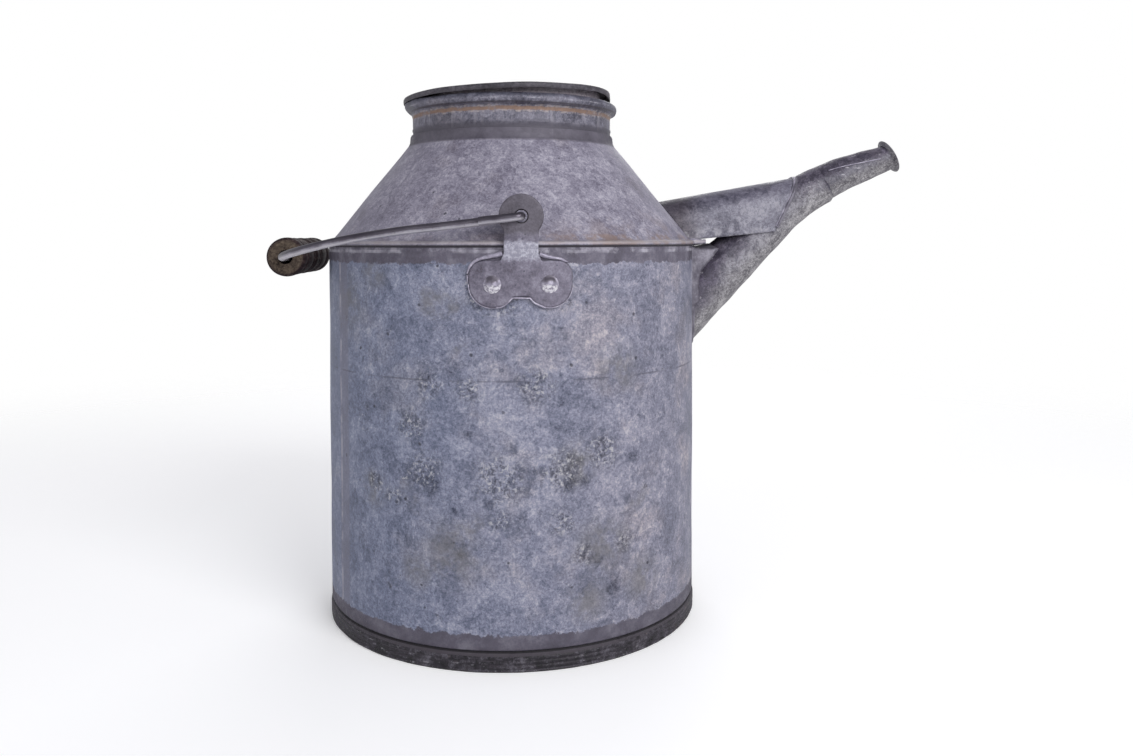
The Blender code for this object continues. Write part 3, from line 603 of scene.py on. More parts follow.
def dull_zinc(name, size, contrast, grime, relief, marks, tones):
    """Weathered zinc with dark, middle and light tones. marks(tree, colour) adds to it."""
    tree = Tree(name)
    value = spangle(tree, size, contrast)
    colour = value.ramp(*zip((0.1, 0.5, 0.9), tones))
    colour = colour.tint(tree.patches(0.54, 0.68, 0.024, 5.0, 0.62) * grime, (0.66, 0.6, 0.55))
    colour, _ = add_pits(tree, colour, 0.007, 0.8)
    if marks:
        colour = marks(tree, colour)
    lumps = tree.total(0.0, (tree.noise(0.004, 4.0, 0.6), 1.0), (value, 0.3))
    normal = tree.grained(tree.bump(lumps, relief), 0.00007)
    return tree.finish(colour, value.step(-1.0, 1.7), 0.25, normal, 0.4)


def shoulder_marks(tree, colour):
    """Rust on the hem and the low right of the cone, dull collar, a painted highlight along the hem's fold and
    painted shade under it.
    """
    ring = tree.z.between(SEAM + 0.0004, SEAM + 0.005, 0.0014)
    patch = tree.patches(0.42, 0.62, 0.012, 5.0, 0.7)
    right = tree.x.step(CAN_X - 0.02, CAN_X + 0.05)
    collar = tree.z.step(COLLAR_FOOT - 0.0016, COLLAR_FOOT + 0.0002)
    cloud = tree.noise(0.01, 5.0, 0.65).ramp((0.3, (0.048, 0.043, 0.057)), (0.7, (0.118, 0.107, 0.136)))
    return add_rust(tree, colour, ring * patch * tree.total(0.35, (right, 0.5))).coat(
        (right * tree.z.step(SEAM + 0.022, SEAM + 0.002) * patch * 0.35, (0.285, 0.22, 0.205)),
        (collar * 0.9, cloud),
        # Painted highlight on the upper face of the hem's fold, and painted shade on its underside where it
        # meets the wall.
        (tree.z.between(SEAM + 0.0013, SEAM + 0.0023, 0.0004) * 0.45, (0.42, 0.38, 0.38)),
        (tree.z.step(SEAM + 0.001, SEAM + 0.0003) * 0.9, (0.045, 0.04, 0.05)))


def neck_marks(tree, colour):
    """Rust line under the curl, pale runs below it, a dull foot, painted shade over the top of the curl and a
    painted glint round its middle.
    """
    streak = tree.patches(0.5, 0.68, 0.0035, 4.0, 0.6, where=tree.stretched(1.0, 1.0, 0.12)) * 0.55
    streak = streak * tree.z.between(CURL_CENTRE - 0.013, CURL_CENTRE - 0.0045, 0.003)
    high = tree.total(tree.z, (tree.noise(0.005, 5.0, 0.7), 0.0022))
    edges = high.between(CURL_CENTRE - 0.0064, CURL_CENTRE - 0.0034, 0.0007)
    edges = edges * tree.patches(0.44, 0.6, 0.0022, 5.0, 0.75)
    colour = colour.coat((streak, (0.3, 0.285, 0.33)), (edges * 0.6, (0.4, 0.345, 0.325)))
    line = high.between(CURL_CENTRE - 0.0056, CURL_CENTRE - 0.0042, 0.0005)
    line = line * tree.patches(0.3, 0.5, 0.012, 6.0, 0.75)
    colour = add_rust(tree, colour, line * 0.9, 0.0015)
    # Painted shade: the top of the curl, under the lid, made darker.
    colour = colour.tint(tree.z.step(CURL_CENTRE + 0.0002, CURL_CENTRE + 0.0014) * 0.7, (0.52, 0.54, 0.6))
    # Painted highlight: a broken glint line round the middle of the curl.
    glint = high.between(CURL_CENTRE, CURL_CENTRE + 0.0001, 0.0003) * tree.patches(0.5, 0.64, 0.014, 5.0, 0.75)
    return colour.coat(
        (glint * 0.45, (0.56, 0.55, 0.59)),
        (tree.z.between(CURL_CENTRE - 0.0022, CURL_CENTRE - 0.0018, 0.0003) * 0.6, (0.055, 0.045, 0.05)),
        (tree.z.step(SHOULDER_TOP + 0.0055, SHOULDER_TOP + 0.001) * 0.85, (0.075, 0.068, 0.088)))


def foot_marks(tree, colour):
    """Bright chips along the ridges, partly painted glints."""
    # Partly chipped zinc and partly painted highlight: bright streaks that stand for glints on the ridges.
    chips_and_glints = tree.patches(0.6, 0.68, 0.006, 5.0, 0.75, where=tree.stretched(1.0, 1.0, 3.0))
    colour = colour.coat((chips_and_glints * 0.7, (0.3, 0.29, 0.32)))
    return add_rust(tree, colour, tree.patches(0.58, 0.7, 0.02, 4.0, 0.7) * 0.4)


def spout_marks(tree, colour):
    """Painted shade with a purple tint on the upper side, pale crust with a painted highlight on the
    underside, and long scratches.
    """
    grit = tree.total(0.5, (tree.noise(0.0012, 6.0, 0.9), 3.2), (tree.noise(0.006, 5.0, 0.7), 1.8))
    crust_and_underside_light = grit.ramp((0.1, (0.065, 0.06, 0.068)), (0.5, (0.255, 0.245, 0.253)), (0.9, (0.56, 0.545, 0.545)))
    # Pale crust on the downward-facing side, lighter there as painted highlight.
    colour = colour.coat((tree.upper(0.1, -0.45) * 0.7, crust_and_underside_light))
    # Painted shade with a purple tint on the upward-facing side.
    colour = colour.tint(tree.upper(0.05, 0.5, 0.9) * 0.9, PURPLE_SHADE_TINT)
    # Painted shade on the top near the root, under the brace's edge.
    root = tree.total(tree.x, (tree.noise(0.012, 5.0, 0.6), 0.02)).step(CAN_X + 0.122, CAN_X + 0.112)
    colour = colour.tint(root * tree.upper(-0.35, 0.15) * 0.9, PURPLE_SHADE_TINT)
    scratch = tree.patches(0.6, 0.68, 0.0016, 5.0, 0.75, where=tree.stretched(0.22, 1.0, 0.45))
    fold = abs(tree.noise(0.008, 4.0, 0.6, 1.8) - 0.5).step(0.02, 0.005) * tree.patches(0.4, 0.52, 0.02)
    return colour.coat((scratch * 0.6, (0.5, 0.485, 0.52)), (fold * 0.7, (0.04, 0.034, 0.046)))


def brace_marks(tree, colour):
    """Painted shade on the crown, darker towards the root, and painted highlight patches on the lower edges.
    """
    # Painted shade: the upward-facing crown darkened.
    colour = colour.tint(tree.upper(0.05, 0.75, 0.6) * 0.9, (0.62, 0.6, 0.68))
    root = tree.total(tree.x, (tree.noise(0.01, 4.0, 0.6), 0.012)).step(CAN_X + 0.112, CAN_X + 0.094)
    colour = colour.tint(root * 0.9, (0.46, 0.41, 0.4))
    # Painted highlight: pale patches on the lower edges.
    edge = tree.z.step(SEAM + 0.012, SEAM + 0.004) * tree.patches(0.48, 0.62, 0.006, 4.0, 0.7)
    return colour.coat((edge * 0.6, (0.43, 0.42, 0.45)))


def wood_material():
    tree = Tree("grip_wood")
    grain = tree.noise(0.0016, 5.0, 0.65, 0.6, tree.stretched(1.0, 0.1, 1.0))
    wear = tree.noise(0.007, 4.0, 0.6)
    end_face = tree.noise(0.0012, 3.0, 0.6).ramp((0.3, (0.024, 0.016, 0.013)), (0.7, (0.115, 0.088, 0.066)))
    colour = grain.ramp((0.3, (0.008, 0.004, 0.005)),
                        (0.52, (0.024, 0.013, 0.015)), (0.74, (0.085, 0.06, 0.052)))
    colour = colour.coat((wear.step(0.55, 0.75) * 0.6, (0.085, 0.064, 0.06)),
                         (abs(tree.y).step(0.044, 0.0449), end_face))
    return tree.finish(colour, wear.step(-1.5, 1.3), 0.0, tree.bump(grain, 0.0003), 0.2)


def wire_material():
    """Steel with painted shade along its top and a painted highlight along its underside."""
    tree = Tree("bail_wire_steel")
    patch = tree.noise(0.01, 5.0, 0.7)
    fine = tree.noise(0.0012, 4.0, 0.75)
    colour = patch.ramp((0.3, (0.15, 0.138, 0.165)), (0.55, (0.3, 0.285, 0.335)), (0.75, (0.44, 0.42, 0.46)))
    colour = colour.coat((fine.step(0.56, 0.7), (0.11, 0.09, 0.095)),
                         # Painted shade on the upward-facing side and painted highlight on the downward-facing
                         # side.
                         (tree.upper(-0.3, 0.08, 0.4) * 0.88, (0.06, 0.052, 0.068)),
                         (tree.upper(-0.25, -0.65, 0.5) * 0.7, (0.62, 0.6, 0.64)))
    return tree.finish(colour, patch.step(-0.7, 2.2), 0.8, tree.bump(fine, 0.00015, 0.5))


def ear_material():
    """Cast iron, lighter over the jog, darker above it round the eye, with painted shade in the hole."""
    tree = Tree("cast_ear_iron")
    patch = tree.total(0.5, (tree.noise(0.007, 5.0, 0.65), 1.4), (tree.noise(0.0012, 5.0, 0.85), 1.5))
    colour = patch.ramp((0.1, (0.072, 0.064, 0.086)), (0.5, (0.155, 0.142, 0.19)), (0.9, (0.29, 0.274, 0.335)))
    high = tree.total(tree.z, (tree.noise(0.004, 4.0, 0.65), 0.006))
    light = tree.mix(tree.patches(0.42, 0.62, 0.0018, 5.0, 0.8), (0.3, 0.295, 0.365), (0.56, 0.555, 0.64))
    wear_and_painted_light = tree.total(0.5, (tree.noise(0.006, 4.0, 0.6), 1.6), (tree.noise(0.0012, 5.0, 0.85), 1.8))
    # Painted shade: the wall of the hole round the wire is near black.
    hole = tree.near((HINGE.x, 0, HINGE.z), EYE_RADIUS, 0.0002, tree.stretched(1.0, 0.0, 1.0))
    colour = colour.coat(
        (high.between(SEAM - 0.0052, SEAM + 0.0012, 0.0022) * 0.85, light),
        (high.step(SEAM + 0.0035, SEAM + 0.0075) * 0.75,
         tree.mix(wear_and_painted_light, (0.04, 0.035, 0.043), (0.112, 0.1, 0.12))),
        (hole, (0.015, 0.013, 0.016)))
    colour, _ = add_pits(tree, colour, 0.004, 0.7)
    normal = tree.grained(tree.bump(tree.noise(0.0022, 4.0, 0.6), 0.0003))
    return tree.finish(colour, patch.step(-0.9, 1.7), 0.35, normal)


def solder_material(name, lift, metallic, wear_and_painted_light=False):
    tree = Tree(name)
    patch = tree.total(0.5, (tree.noise(0.005, 5.0, 0.68), 1.4), (tree.noise(0.0011, 4.0, 0.8), 0.6))
    tones = [tuple(c * lift for c in tone) for tone in SOLDER_TONES]
    colour = patch.ramp(*zip((0.15, 0.5, 0.95), tones))
    # Painted light for rivet heads: painted shade on the upward-facing side and a painted highlight mottling
    # the downward-facing side.
    if wear_and_painted_light:
        underside_highlight = tree.upper(0.02, -0.22, 0.3) * tree.patches(0.44, 0.54, 0.0012, 4.0, 0.8)
        colour = colour.coat((tree.upper(0.1, 0.45, 0.3) * 0.85, (0.08, 0.07, 0.088)),
                             (underside_highlight * 0.9, (0.78, 0.76, 0.8)))
    normal = tree.bump(tree.noise(0.0022, 4.0, 0.6), 0.0004, 0.7)
    return tree.finish(colour, patch.step(-0.8, 1.9), metallic, normal)


# Crystal size, contrast, grime, relief, marks, and dark, middle and light tones
ZINCS = {
    "shoulder": (0.015, 0.6, 0.3, 0.00025, shoulder_marks,
                 ((0.138, 0.127, 0.176), (0.266, 0.251, 0.318), (0.45, 0.432, 0.5))),
    "neck": (0.012, 0.9, 0.4, 0.00025, neck_marks,
             ((0.06, 0.058, 0.08), (0.15, 0.145, 0.186), (0.29, 0.28, 0.335))),
    "foot": (0.008, 1.0, 0.3, 0.00025, foot_marks,
             ((0.01, 0.009, 0.012), (0.038, 0.033, 0.043), (0.12, 0.112, 0.134))),
    "lid": (0.012, 0.8, 0.3, 0.00025, None,
            ((0.03, 0.027, 0.034), (0.064, 0.058, 0.071), (0.145, 0.135, 0.158))),
    # The skirt's tones are the lid's made several times lighter: painted light that lifts it out of the lid's
    # shadow.
    "skirt": (0.012, 0.8, 0.3, 0.00025, None,
              ((0.21, 0.182, 0.215), (0.4, 0.352, 0.4), (0.56, 0.52, 0.57))),
    "spout": (0.012, 1.0, 0.3, 0.0006, spout_marks,
              ((0.075, 0.071, 0.092), (0.17, 0.163, 0.192), (0.345, 0.336, 0.368))),
    "brace": (0.014, 1.0, 0.3, 0.00025, brace_marks,
              ((0.08, 0.077, 0.104), (0.188, 0.183, 0.226), (0.34, 0.333, 0.378))),
}

MATERIALS = {"body": body_material()}
MATERIALS.update((name, dull_zinc(name + "_zinc", *zinc)) for name, zinc in ZINCS.items())
MATERIALS["solder"] = solder_material("solder", 1.0, 0.3)
MATERIALS["ear"] = ear_material()
MATERIALS["rivet"] = solder_material("rivet_metal", 2.0, 0.5, wear_and_painted_light=True)
# Solder lifted far above its own tone: a painted highlight on the thin rims, notches, lumps and edges it is
# laid on.
MATERIALS["bright"] = solder_material("solder_with_painted_highlight", 2.3, 0.4)
MATERIALS["wire"] = wire_material()
MATERIALS["wood"] = wood_material()


def body_dents(a, r, z):
    inside = clamp((z - 0.018) / 0.02) * clamp((SEAM - 0.012 - z) / 0.02)
    push = 0.00042 * dent(a, 0.1, z, 0.045, 3.0) + 0.00018 * dent(a, 0.1, z, 0.018, 5.0)
    return r + push * inside, z


def make_body():
    top = SEAM + 0.0012
    outline = [(BODY_RADIUS + 0.001, top), (BODY_RADIUS + 0.0003, top), (BODY_RADIUS, top - 0.0005)]
    outline += densify([(BODY_RADIUS, SEAM - 0.0005), (BODY_RADIUS, FOOT_GROOVE + 0.0014)], 0.0028)
    groove = ((0.0003, 0.0009), (0.0009, 0.0002), (0.0009, -0.0003), (0.0003, -0.0009), (0.0, -0.0013))
    outline += [(BODY_RADIUS - depth, FOOT_GROOVE + rise) for depth, rise in groove]
    outline += [(BODY_RADIUS, 0.0012)]
    body = turned("body_sheet", outline, shape=body_dents)
    add_wall(body)
    link(body, "can", "galvanised_body", "body", "body_shell")


def foot_dents(a, r, z):
    return (r if r < BODY_RADIUS else r + 0.00022 * dent(a, 0.1, z, 0.009, 8.0)), z


def make_foot():
    """Double-seamed rim with rolled ridges, and the recessed bottom inside it."""
    outer = FOOT_RADIUS
    outline = [(BODY_RADIUS + 0.0003, FOOT_HEM - 0.0002), (outer - 0.0003, FOOT_HEM),
               (outer, FOOT_HEM - 0.0006)]
    for k in range(FOOT_RIDGES):
        z = FOOT_HEM - 0.0008 - k * 0.0021
        outline += [(outer, z - 0.0005), (outer - 0.00035, z - 0.0011), (outer - 0.00035, z - 0.0014),
                    (outer, z - 0.0019)]
    under = FOOT_PANEL - SHEET
    outline += [(outer - 0.0002, 0.0006), (outer - 0.0008, 0.0), (outer - 0.0024, 0.0),
                (outer - 0.0027, 0.0006), (outer - 0.0027, FOOT_PANEL - 0.0014)]
    outline += densify([(outer - 0.0035, under), (0.0, under)], 0.012)
    outline += [(0.0, FOOT_PANEL), (outer - 0.0024, FOOT_PANEL), (outer - 0.0021, 0.0011),
                (BODY_RADIUS + 0.0003, 0.0011)]
    foot = turned("foot_seam", outline, closed=True, shape=foot_dents)
    link(foot, "can", "galvanised_foot", "foot", "bottom_pan")


def shoulder_dents(a, r, z):
    if z < SEAM + 0.004:
        return r + 0.0001 * dent(a, 0.1, z, 0.008, 2.0), z
    lift = 0.00045 * dent(a, r, z, 0.03, 11.0) + 0.00015 * dent(a, r, z, 0.012, 4.0)
    return r + lift, z + lift * 0.6


def make_shoulder():
    """From the collar's edge down the cone and round the hem."""
    hem_top = SEAM + 0.0024
    cone_foot = BODY_RADIUS - 0.001
    collar = COLLAR_TOP_RADIUS
    outline = [(collar - SHEET, SHOULDER_TOP - 0.0002), (collar - 0.0002, SHOULDER_TOP)]
    outline += densify([(collar, SHOULDER_TOP - 0.0008), (collar + 0.0002, COLLAR_FOOT + 0.0048),
                        (COLLAR_RADIUS - 0.0004, COLLAR_FOOT + 0.0014)], 0.0015)
    outline += densify([(COLLAR_RADIUS + 0.0006, COLLAR_FOOT - 0.0006), (cone_foot, hem_top + 0.0006)], 0.0022)
    outline += [(cone_foot + 0.0012, hem_top + 0.0002)]
    outline += arc((HEM_RADIUS - 0.0012, SEAM + 0.0012), 0.0012, 90, -90, 8)
    outline += [(BODY_RADIUS + 0.0003, SEAM)]
    shoulder = turned("shoulder_sheet", outline, shape=shoulder_dents)
    add_wall(shoulder)
    link(shoulder, "can", "galvanised_shoulder", "shoulder", "shoulder_cone")


def neck_dents(a, r, z):
    """The curl is knocked outwards and up on the side by the grip, where the lid rests."""
    off = math.atan2(math.sin(a - math.pi * 1.04), math.cos(a - math.pi * 1.04))
    bulge = math.exp(-(off / 0.45) ** 2)
    up = clamp((z - CURL_CENTRE + CURL_RADIUS * 1.8) / CURL_RADIUS)
    r += 0.00025 * dent(a, r, z, 0.02, 6.0)
    r += 0.0006 * bulge * up + 0.00022 * up * dent(a, r, z, 0.008, 9.0)
    return r, z + up * (0.0019 * bulge + 0.0004 * dent(a, r, 0, 0.03, 2.0))


def make_neck():
    outline = arc((RIM_RADIUS, CURL_CENTRE), CURL_RADIUS, 205, -84, 26)
    foot = CURL_CENTRE - CURL_RADIUS
    outline += [(NECK_RADIUS + 0.0007, foot - 0.0004), (NECK_RADIUS + 0.0002, foot - 0.0012)]
    outline += densify([(NECK_RADIUS, foot - 0.0022), (NECK_RADIUS, SHOULDER_TOP + 0.004)], 0.002)
    swage = ((0.0003, 0.0036), (0.0003, 0.0028), (0.0, 0.0024), (0.0, 0.0))
    outline += [(NECK_RADIUS + out, SHOULDER_TOP + rise) for out, rise in swage]
    outline += [(NECK_RADIUS, COLLAR_FOOT + 0.0004)]
    neck = turned("neck_sheet", outline, shape=neck_dents)
    add_wall(neck)
    link(neck, "can", "galvanised_neck", "neck", "neck_collar")


def lid_place(offset=0.0):
    """Matrix of the lid: tilted, with its top plane through the cover's highest plain edge."""
    tilt = math.atan2(-LID_UP.x, LID_UP.z)
    contact = NECK_RADIUS + LID_SHIFT
    top = CURL_TOP + 0.0001 + SHEET + contact * math.sin(tilt)
    lean = Matrix.Rotation(-tilt, 4, "Y")
    return Matrix.Translation((CAN_X + LID_SHIFT, 0, top)) @ lean @ Matrix.Translation((offset, 0, 0))


def lid_dents(a, r, z):
    edge = max(0.0, (r - 0.045) / 0.0135)
    droop = 0.0028 * math.exp(-(math.atan2(math.sin(a), math.cos(a)) / 0.3) ** 2) if z < -0.001 else 0.0
    wave = 0.0003 * dent(a, 0.06, 0, 0.03, 1.5)
    return r, z + edge * (wave - droop) + 0.0002 * dent(a, r, 0, 0.02, 7.0)


def make_lid():
    edge = LID_RADIUS
    outline = [(edge - SHEET, -LID_EDGE + 0.0001), (edge - 0.0002, -LID_EDGE), (edge, -LID_EDGE + 0.0004),
               (edge + 0.0001, -0.0016), (edge, -0.0008), (edge - 0.0003, -0.0002)]
    outline += densify([(edge - 0.001, 0.0), (LID_PANEL_RADIUS + 0.0018, 0.0)], 0.003)
    outline += [(LID_PANEL_RADIUS + 0.0012, 0.0002), (LID_PANEL_RADIUS + 0.0006, 0.0006)]
    outline += densify([(LID_PANEL_RADIUS, LID_PANEL_RISE), (0.0, LID_PANEL_RISE)], 0.006)
    cover = turned("lid_disc", outline, 200, shape=lid_dents, place=lid_place(LID_COVER_OFFSET))
    add_wall(cover)
    link(cover, "lid", "lid_sheet", "lid", "lid_cover")
    wall = SKIRT_RADIUS
    top = -SHEET - 0.0003
    outline = densify([(wall, -SKIRT_DEPTH), (wall, top - 0.0006)], 0.003)
    outline += [(wall - 0.0003, top - 0.0001), (wall - 0.001, top), (wall - 0.004, top)]
    skirt = turned("lid_ring", outline, 160, place=lid_place())
    add_wall(skirt)
    link(skirt, "lid", "lid_sheet", "skirt", "lid_skirt")


def along(slope):
    return Vector((math.cos(slope), 0, math.sin(slope)))


def round_point(centre, slope, a, radius):
    """Point round a centre line: a is 0 at the +Y side, a quarter turn at the top."""
    top = Vector((-math.sin(slope), 0, math.cos(slope)))
    return centre + Vector((0, math.cos(a), 0)) * radius + top * radius * math.sin(a)


def spout_centre(distance):
    """Point and tangent angle on the spout's centre line, distance from its root."""
    turn = SPOUT_SLOPE - TIP_SLOPE
    radius = BEND_TANGENT / math.tan(turn / 2)
    start = ROOT_DISTANCE - BEND_TANGENT
    into, out = along(SPOUT_SLOPE), along(TIP_SLOPE)
    bend = SPOUT_CORNER - into * BEND_TANGENT
    if distance <= start:
        return bend + into * (distance - start), SPOUT_SLOPE
    angle = (distance - start) / radius
    if angle < turn:
        side = (out - into * out.dot(into)).normalized()
        place = bend + into * radius * math.sin(angle) + side * radius * (1 - math.cos(angle))
        return place, SPOUT_SLOPE - angle
    return SPOUT_CORNER + out * (BEND_TANGENT + distance - start - radius * turn), TIP_SLOPE


def spout_length():
    turn = SPOUT_SLOPE - TIP_SLOPE
    return ROOT_DISTANCE - 2 * BEND_TANGENT + BEND_TANGENT / math.tan(turn / 2) * turn + TIP_LENGTH


def ring_point(distance, a, radius):
    centre, slope = spout_centre(distance)
    return round_point(centre, slope, a, radius)


def tube_radius(distance):
    share = min(1.0, distance / (ROOT_DISTANCE - BEND_TANGENT))
    return ROOT_RADIUS + (BEND_RADIUS - ROOT_RADIUS) * share


def tube_point(distance, a, lift=0.0):
    return ring_point(distance, a, tube_radius(distance) + lift)


def crossing(outside, low, high, halvings):
    """Where outside(value) turns true between low and high."""
    for _ in range(halvings):
        middle = (low + high) / 2
        if outside(middle):
            high = middle
        else:
            low = middle
    return low, high


def tube_start(a, wall=BODY_RADIUS):
    """Distance along the spout where a line of its surface comes through the can's wall."""
    def outside(distance):
        p = tube_point(distance, a)
        return math.hypot(p.x - CAN_X, p.y) >= wall

    return sum(crossing(outside, 0.0, ROOT_DISTANCE, 30)) / 2


def tube_surface(distance, a):
    """Radius of the dented tube."""
    r = tube_radius(distance)
    r += 0.0004 * dent(a, 0.015, distance, 0.016, 2.2) + 0.00018 * dent(a, 0.015, distance, 0.006, 4.4)
    close = clamp((distance - TUBE_END + 0.014) / 0.014)
    return r - (0.00055 + 0.0004 * math.sin(a)) * close * close


def tip_radius(share):
    root = BEND_RADIUS - SHEET
    return root + (MOUTH_RADIUS - root) * share ** TIP_TAPER


def make_spout():
    angles = [math.tau * j / SPOUT_COLUMNS for j in range(SPOUT_COLUMNS)]
    starts = [tube_start(a, BODY_RADIUS + 0.0002) for a in angles]
    rows = []
    spans = 70
    for i in range(spans + 1):
        row = []
        for a, start in zip(angles, starts):
            end = TUBE_END + 0.0016 * dent(a, 1, 0, 0.55, 6.6)
            s = start + (end - start) * i / spans
            row.append(ring_point(s, a, tube_surface(s, a)))
        rows.append(row)
    tube = grid_mesh("spout_lower", rows, wrap_columns=True)
    add_wall(tube)
    link(tube, "can", "galvanised_spout", "spout", "spout_tube")

    first = ROOT_DISTANCE + TUBE_OVERLAP - TIP_INSERT - 0.004
    mouth = spout_length() - LIP_FLARE
    root = BEND_RADIUS - SHEET - 0.0003
    rows = []
    spans = 60
    for i in range(spans + 1):
        share = i / spans
        s = first + (mouth - first) * share
        r = root + (MOUTH_RADIUS - root) * share ** TIP_TAPER
        row = []
        for a in angles:
            push = 0.00045 * dent(a, 0.01, s, 0.011, 7.7) + 0.00015 * dent(a, 0.01, s, 0.004, 1.1)
            row.append(ring_point(s, a, r + push * min(1.0, share * 6)))
        rows.append(row)
    centre, slope = spout_centre(mouth)
    slope += LIP_TURN
    for out, r in ((0.0007, MOUTH_RADIUS + 0.0002), (0.0013, MOUTH_RADIUS + 0.0009),
                   (0.0017, LIP_RADIUS - 0.0004), (0.002, LIP_RADIUS), (0.0022, LIP_RADIUS - 0.0001)):
        rows.append([round_point(centre + along(slope) * out, slope, a, r) for a in angles])
    tip = grid_mesh("spout_nose", rows, wrap_columns=True)
    add_wall(tip)
    link(tip, "can", "galvanised_spout", "spout", "spout_tip")


# Edge of the bent lip over the spout: degrees off the tube's top, distance along the tube
LIP = ((0, 0.0615), (30, 0.0615), (45, 0.0622), (52, 0.054), (58, 0.045), (68, 0.0405),
       (82, 0.0365), (96, 0.033))
LIP_WIDTH = LIP[-1][0]


def lip_reach(off):
    for (a, low), (b, high) in zip(LIP, LIP[1:]):
        if off <= b:
            return low + (high - low) * (off - a) / (b - a)
    return LIP[-1][1]


def make_gusset():
    """Bent lip that closes the corner between the hem and the top of the spout."""
    spans = 8
    rows = []
    for j in range(SPOUT_COLUMNS + 1):
        off = LIP_WIDTH * (2 * j / SPOUT_COLUMNS - 1)
        a = math.radians(90 + off)
        start = tube_start(a)
        inner = tube_point(start, a)
        reach = max(start + 0.0008, lip_reach(abs(off)) + 0.0004 * ripple((j, 0, 0), 5.0))
        outer = tube_point(reach, a, 0.0004)
        fall = clamp((abs(off) - 50) / 46)
        rise = (SEAM - 0.0007) * (1 - fall) + (inner.z + 0.001) * fall
        angle = math.atan2(inner.y * (1.1 + 0.06 * fall), inner.x - CAN_X)
        wall = can_point(angle, BODY_RADIUS + 0.0003, rise)
        row = []
        for i in range(spans + 1):
            t = i / spans
            bow = inner.lerp(outer, t) * 0.3 + wall.lerp(outer, t) * 0.7
            row.append(wall.lerp(outer, t).lerp(bow, math.sin(math.pi * t) * 0.45))
        rows.append(row)
    gusset = grid_mesh("spout_gusset", rows)
    add_wall(gusset, 0.0006, 0)
    link(gusset, "can", "galvanised_spout", "solder")


BRACE_ROOT = {"reach": 0.078, "low_reach": 0.078, "crown": 0.0233, "edge": 0.0005, "width": 0.033}
BRACE_END = {"reach": 0.165, "low_reach": 0.15, "crown": 0.0387, "edge": 0.0073, "width": 0.027}


def brace_point(share, u):
    """share runs from the shoulder to the spout, u from one lower edge over the crown to the other."""
    at = {key: BRACE_ROOT[key] + (BRACE_END[key] - BRACE_ROOT[key]) * share for key in BRACE_ROOT}
    half = at["width"] / 2
    straight = at["crown"] - half - at["edge"]
    length = 2 * straight + math.pi * half
    d = u * length
    if d < straight:
        y, z = -half, at["edge"] + d
    elif d > length - straight:
        y, z = half, at["edge"] + length - d
    else:
        a = math.pi - (d - straight) / half
        y, z = half * math.cos(a), at["crown"] - half + half * math.sin(a)
    lift = (z - at["edge"]) / (at["crown"] - at["edge"])
    x = at["low_reach"] + (at["reach"] - at["low_reach"]) * lift
    return Vector((CAN_X + x, y, SEAM + z))


def outside_shoulder(p):
    z = p.z - SEAM
    r = math.hypot(p.x - CAN_X, p.y)
    if z < 0.0026:
        return r > HEM_RADIUS
    foot, foot_radius = 0.0022, BODY_RADIUS - 0.0008
    return r > foot_radius + (COLLAR_RADIUS - foot_radius) * (z - foot) / (COLLAR_FOOT - SEAM - foot)


def make_brace():
    columns = 60
    spans = 44
    rows = [[] for _ in range(spans + 1)]
    for j in range(columns + 1):
        u = j / columns
        start = crossing(lambda share: outside_shoulder(brace_point(share, u)), 0.0, 1.0, 24)[1]
        inside = math.sin(math.pi * min(1, 3 * u * (1 - u)))
        for i, row in enumerate(rows):
            p = brace_point(start + (1 - start) * i / spans, u)
            push = 0.0004 * ripple(p, 0.018, 5.1) + 0.00015 * ripple(p, 0.007, 3.3)
            row.append(p + Vector((0, 1 if p.y > 0 else -1, 0.5)) * push * inside)
    brace = grid_mesh("spout_channel", rows)
    add_wall(brace, SHEET, 0.0)
    link(brace, "can", "galvanised_brace", "brace", "spout_brace")


def bead(name, path, radius, seed, material, flatten=0.7, taper=1.0):
    """Irregular bead of solder along a line; taper is its width at the end against its start."""
    last = len(path) - 1
    radii = [radius * (1 + (taper - 1) * i / last) * (0.75 + 0.6 * abs(ripple(p, 0.006, seed)))
             for i, p in enumerate(path)]
    line = tube_along(name, path, radii, 10, lambda a: flatten + (1 - flatten) * abs(math.cos(a)))
    link(line, "can", "galvanised_spout", material)


def tip_crease(share):
    """Fold that winds up the side of the tip."""
    distance = 0.14 + 0.031 * share
    taper = max(0.0, (distance - ROOT_DISTANCE) / (spout_length() - ROOT_DISTANCE))
    return ring_point(distance, math.radians(146 + 25 * share), tip_radius(taper) + 0.0001)


def make_solder():
    # Bead in the extra-light solder: a painted highlight along the tip's fold.
    bead("tip_crease", [tip_crease(i / 30) for i in range(31)], 0.00042, 2.4, "bright", 0.5)
    end = [brace_point(1.0, 0.03 + 0.94 * i / 60) for i in range(61)]
    bead("brace_end_solder", end, 0.0017, 5.5, "solder", 0.6)
    for side, place in ((-1, "front"), (1, "back")):
        foot = [brace_point(0.26 + 0.17 * i / 14, 0.0 if side < 0 else 1.0) for i in range(15)]
        foot = [p + Vector((0, -0.0006 * side, -0.0007 - 0.00008 * i)) for i, p in enumerate(foot)]
        bead("brace_foot_solder_" + place, foot, 0.003, 3.7, "shoulder", 0.8, 0.6)
    # Bead in the extra-light solder: a painted highlight along the brace's end edge.
    edge = [p + Vector((-0.0007, 0.0003 * (1 if p.y > 0 else -1), 0.0006)) for p in end]
    bead("brace_end_edge", edge, 0.0006, 1.3, "bright", 0.6)
    angles = [math.tau * j / 90 for j in range(91)]
    root = [tube_point(tube_start(a, BODY_RADIUS + 0.001), a, 0.0002) for a in angles]
    bead("spout_root_solder", root, 0.0013, 3.1, "solder")
    make_flange()
    make_gusset()


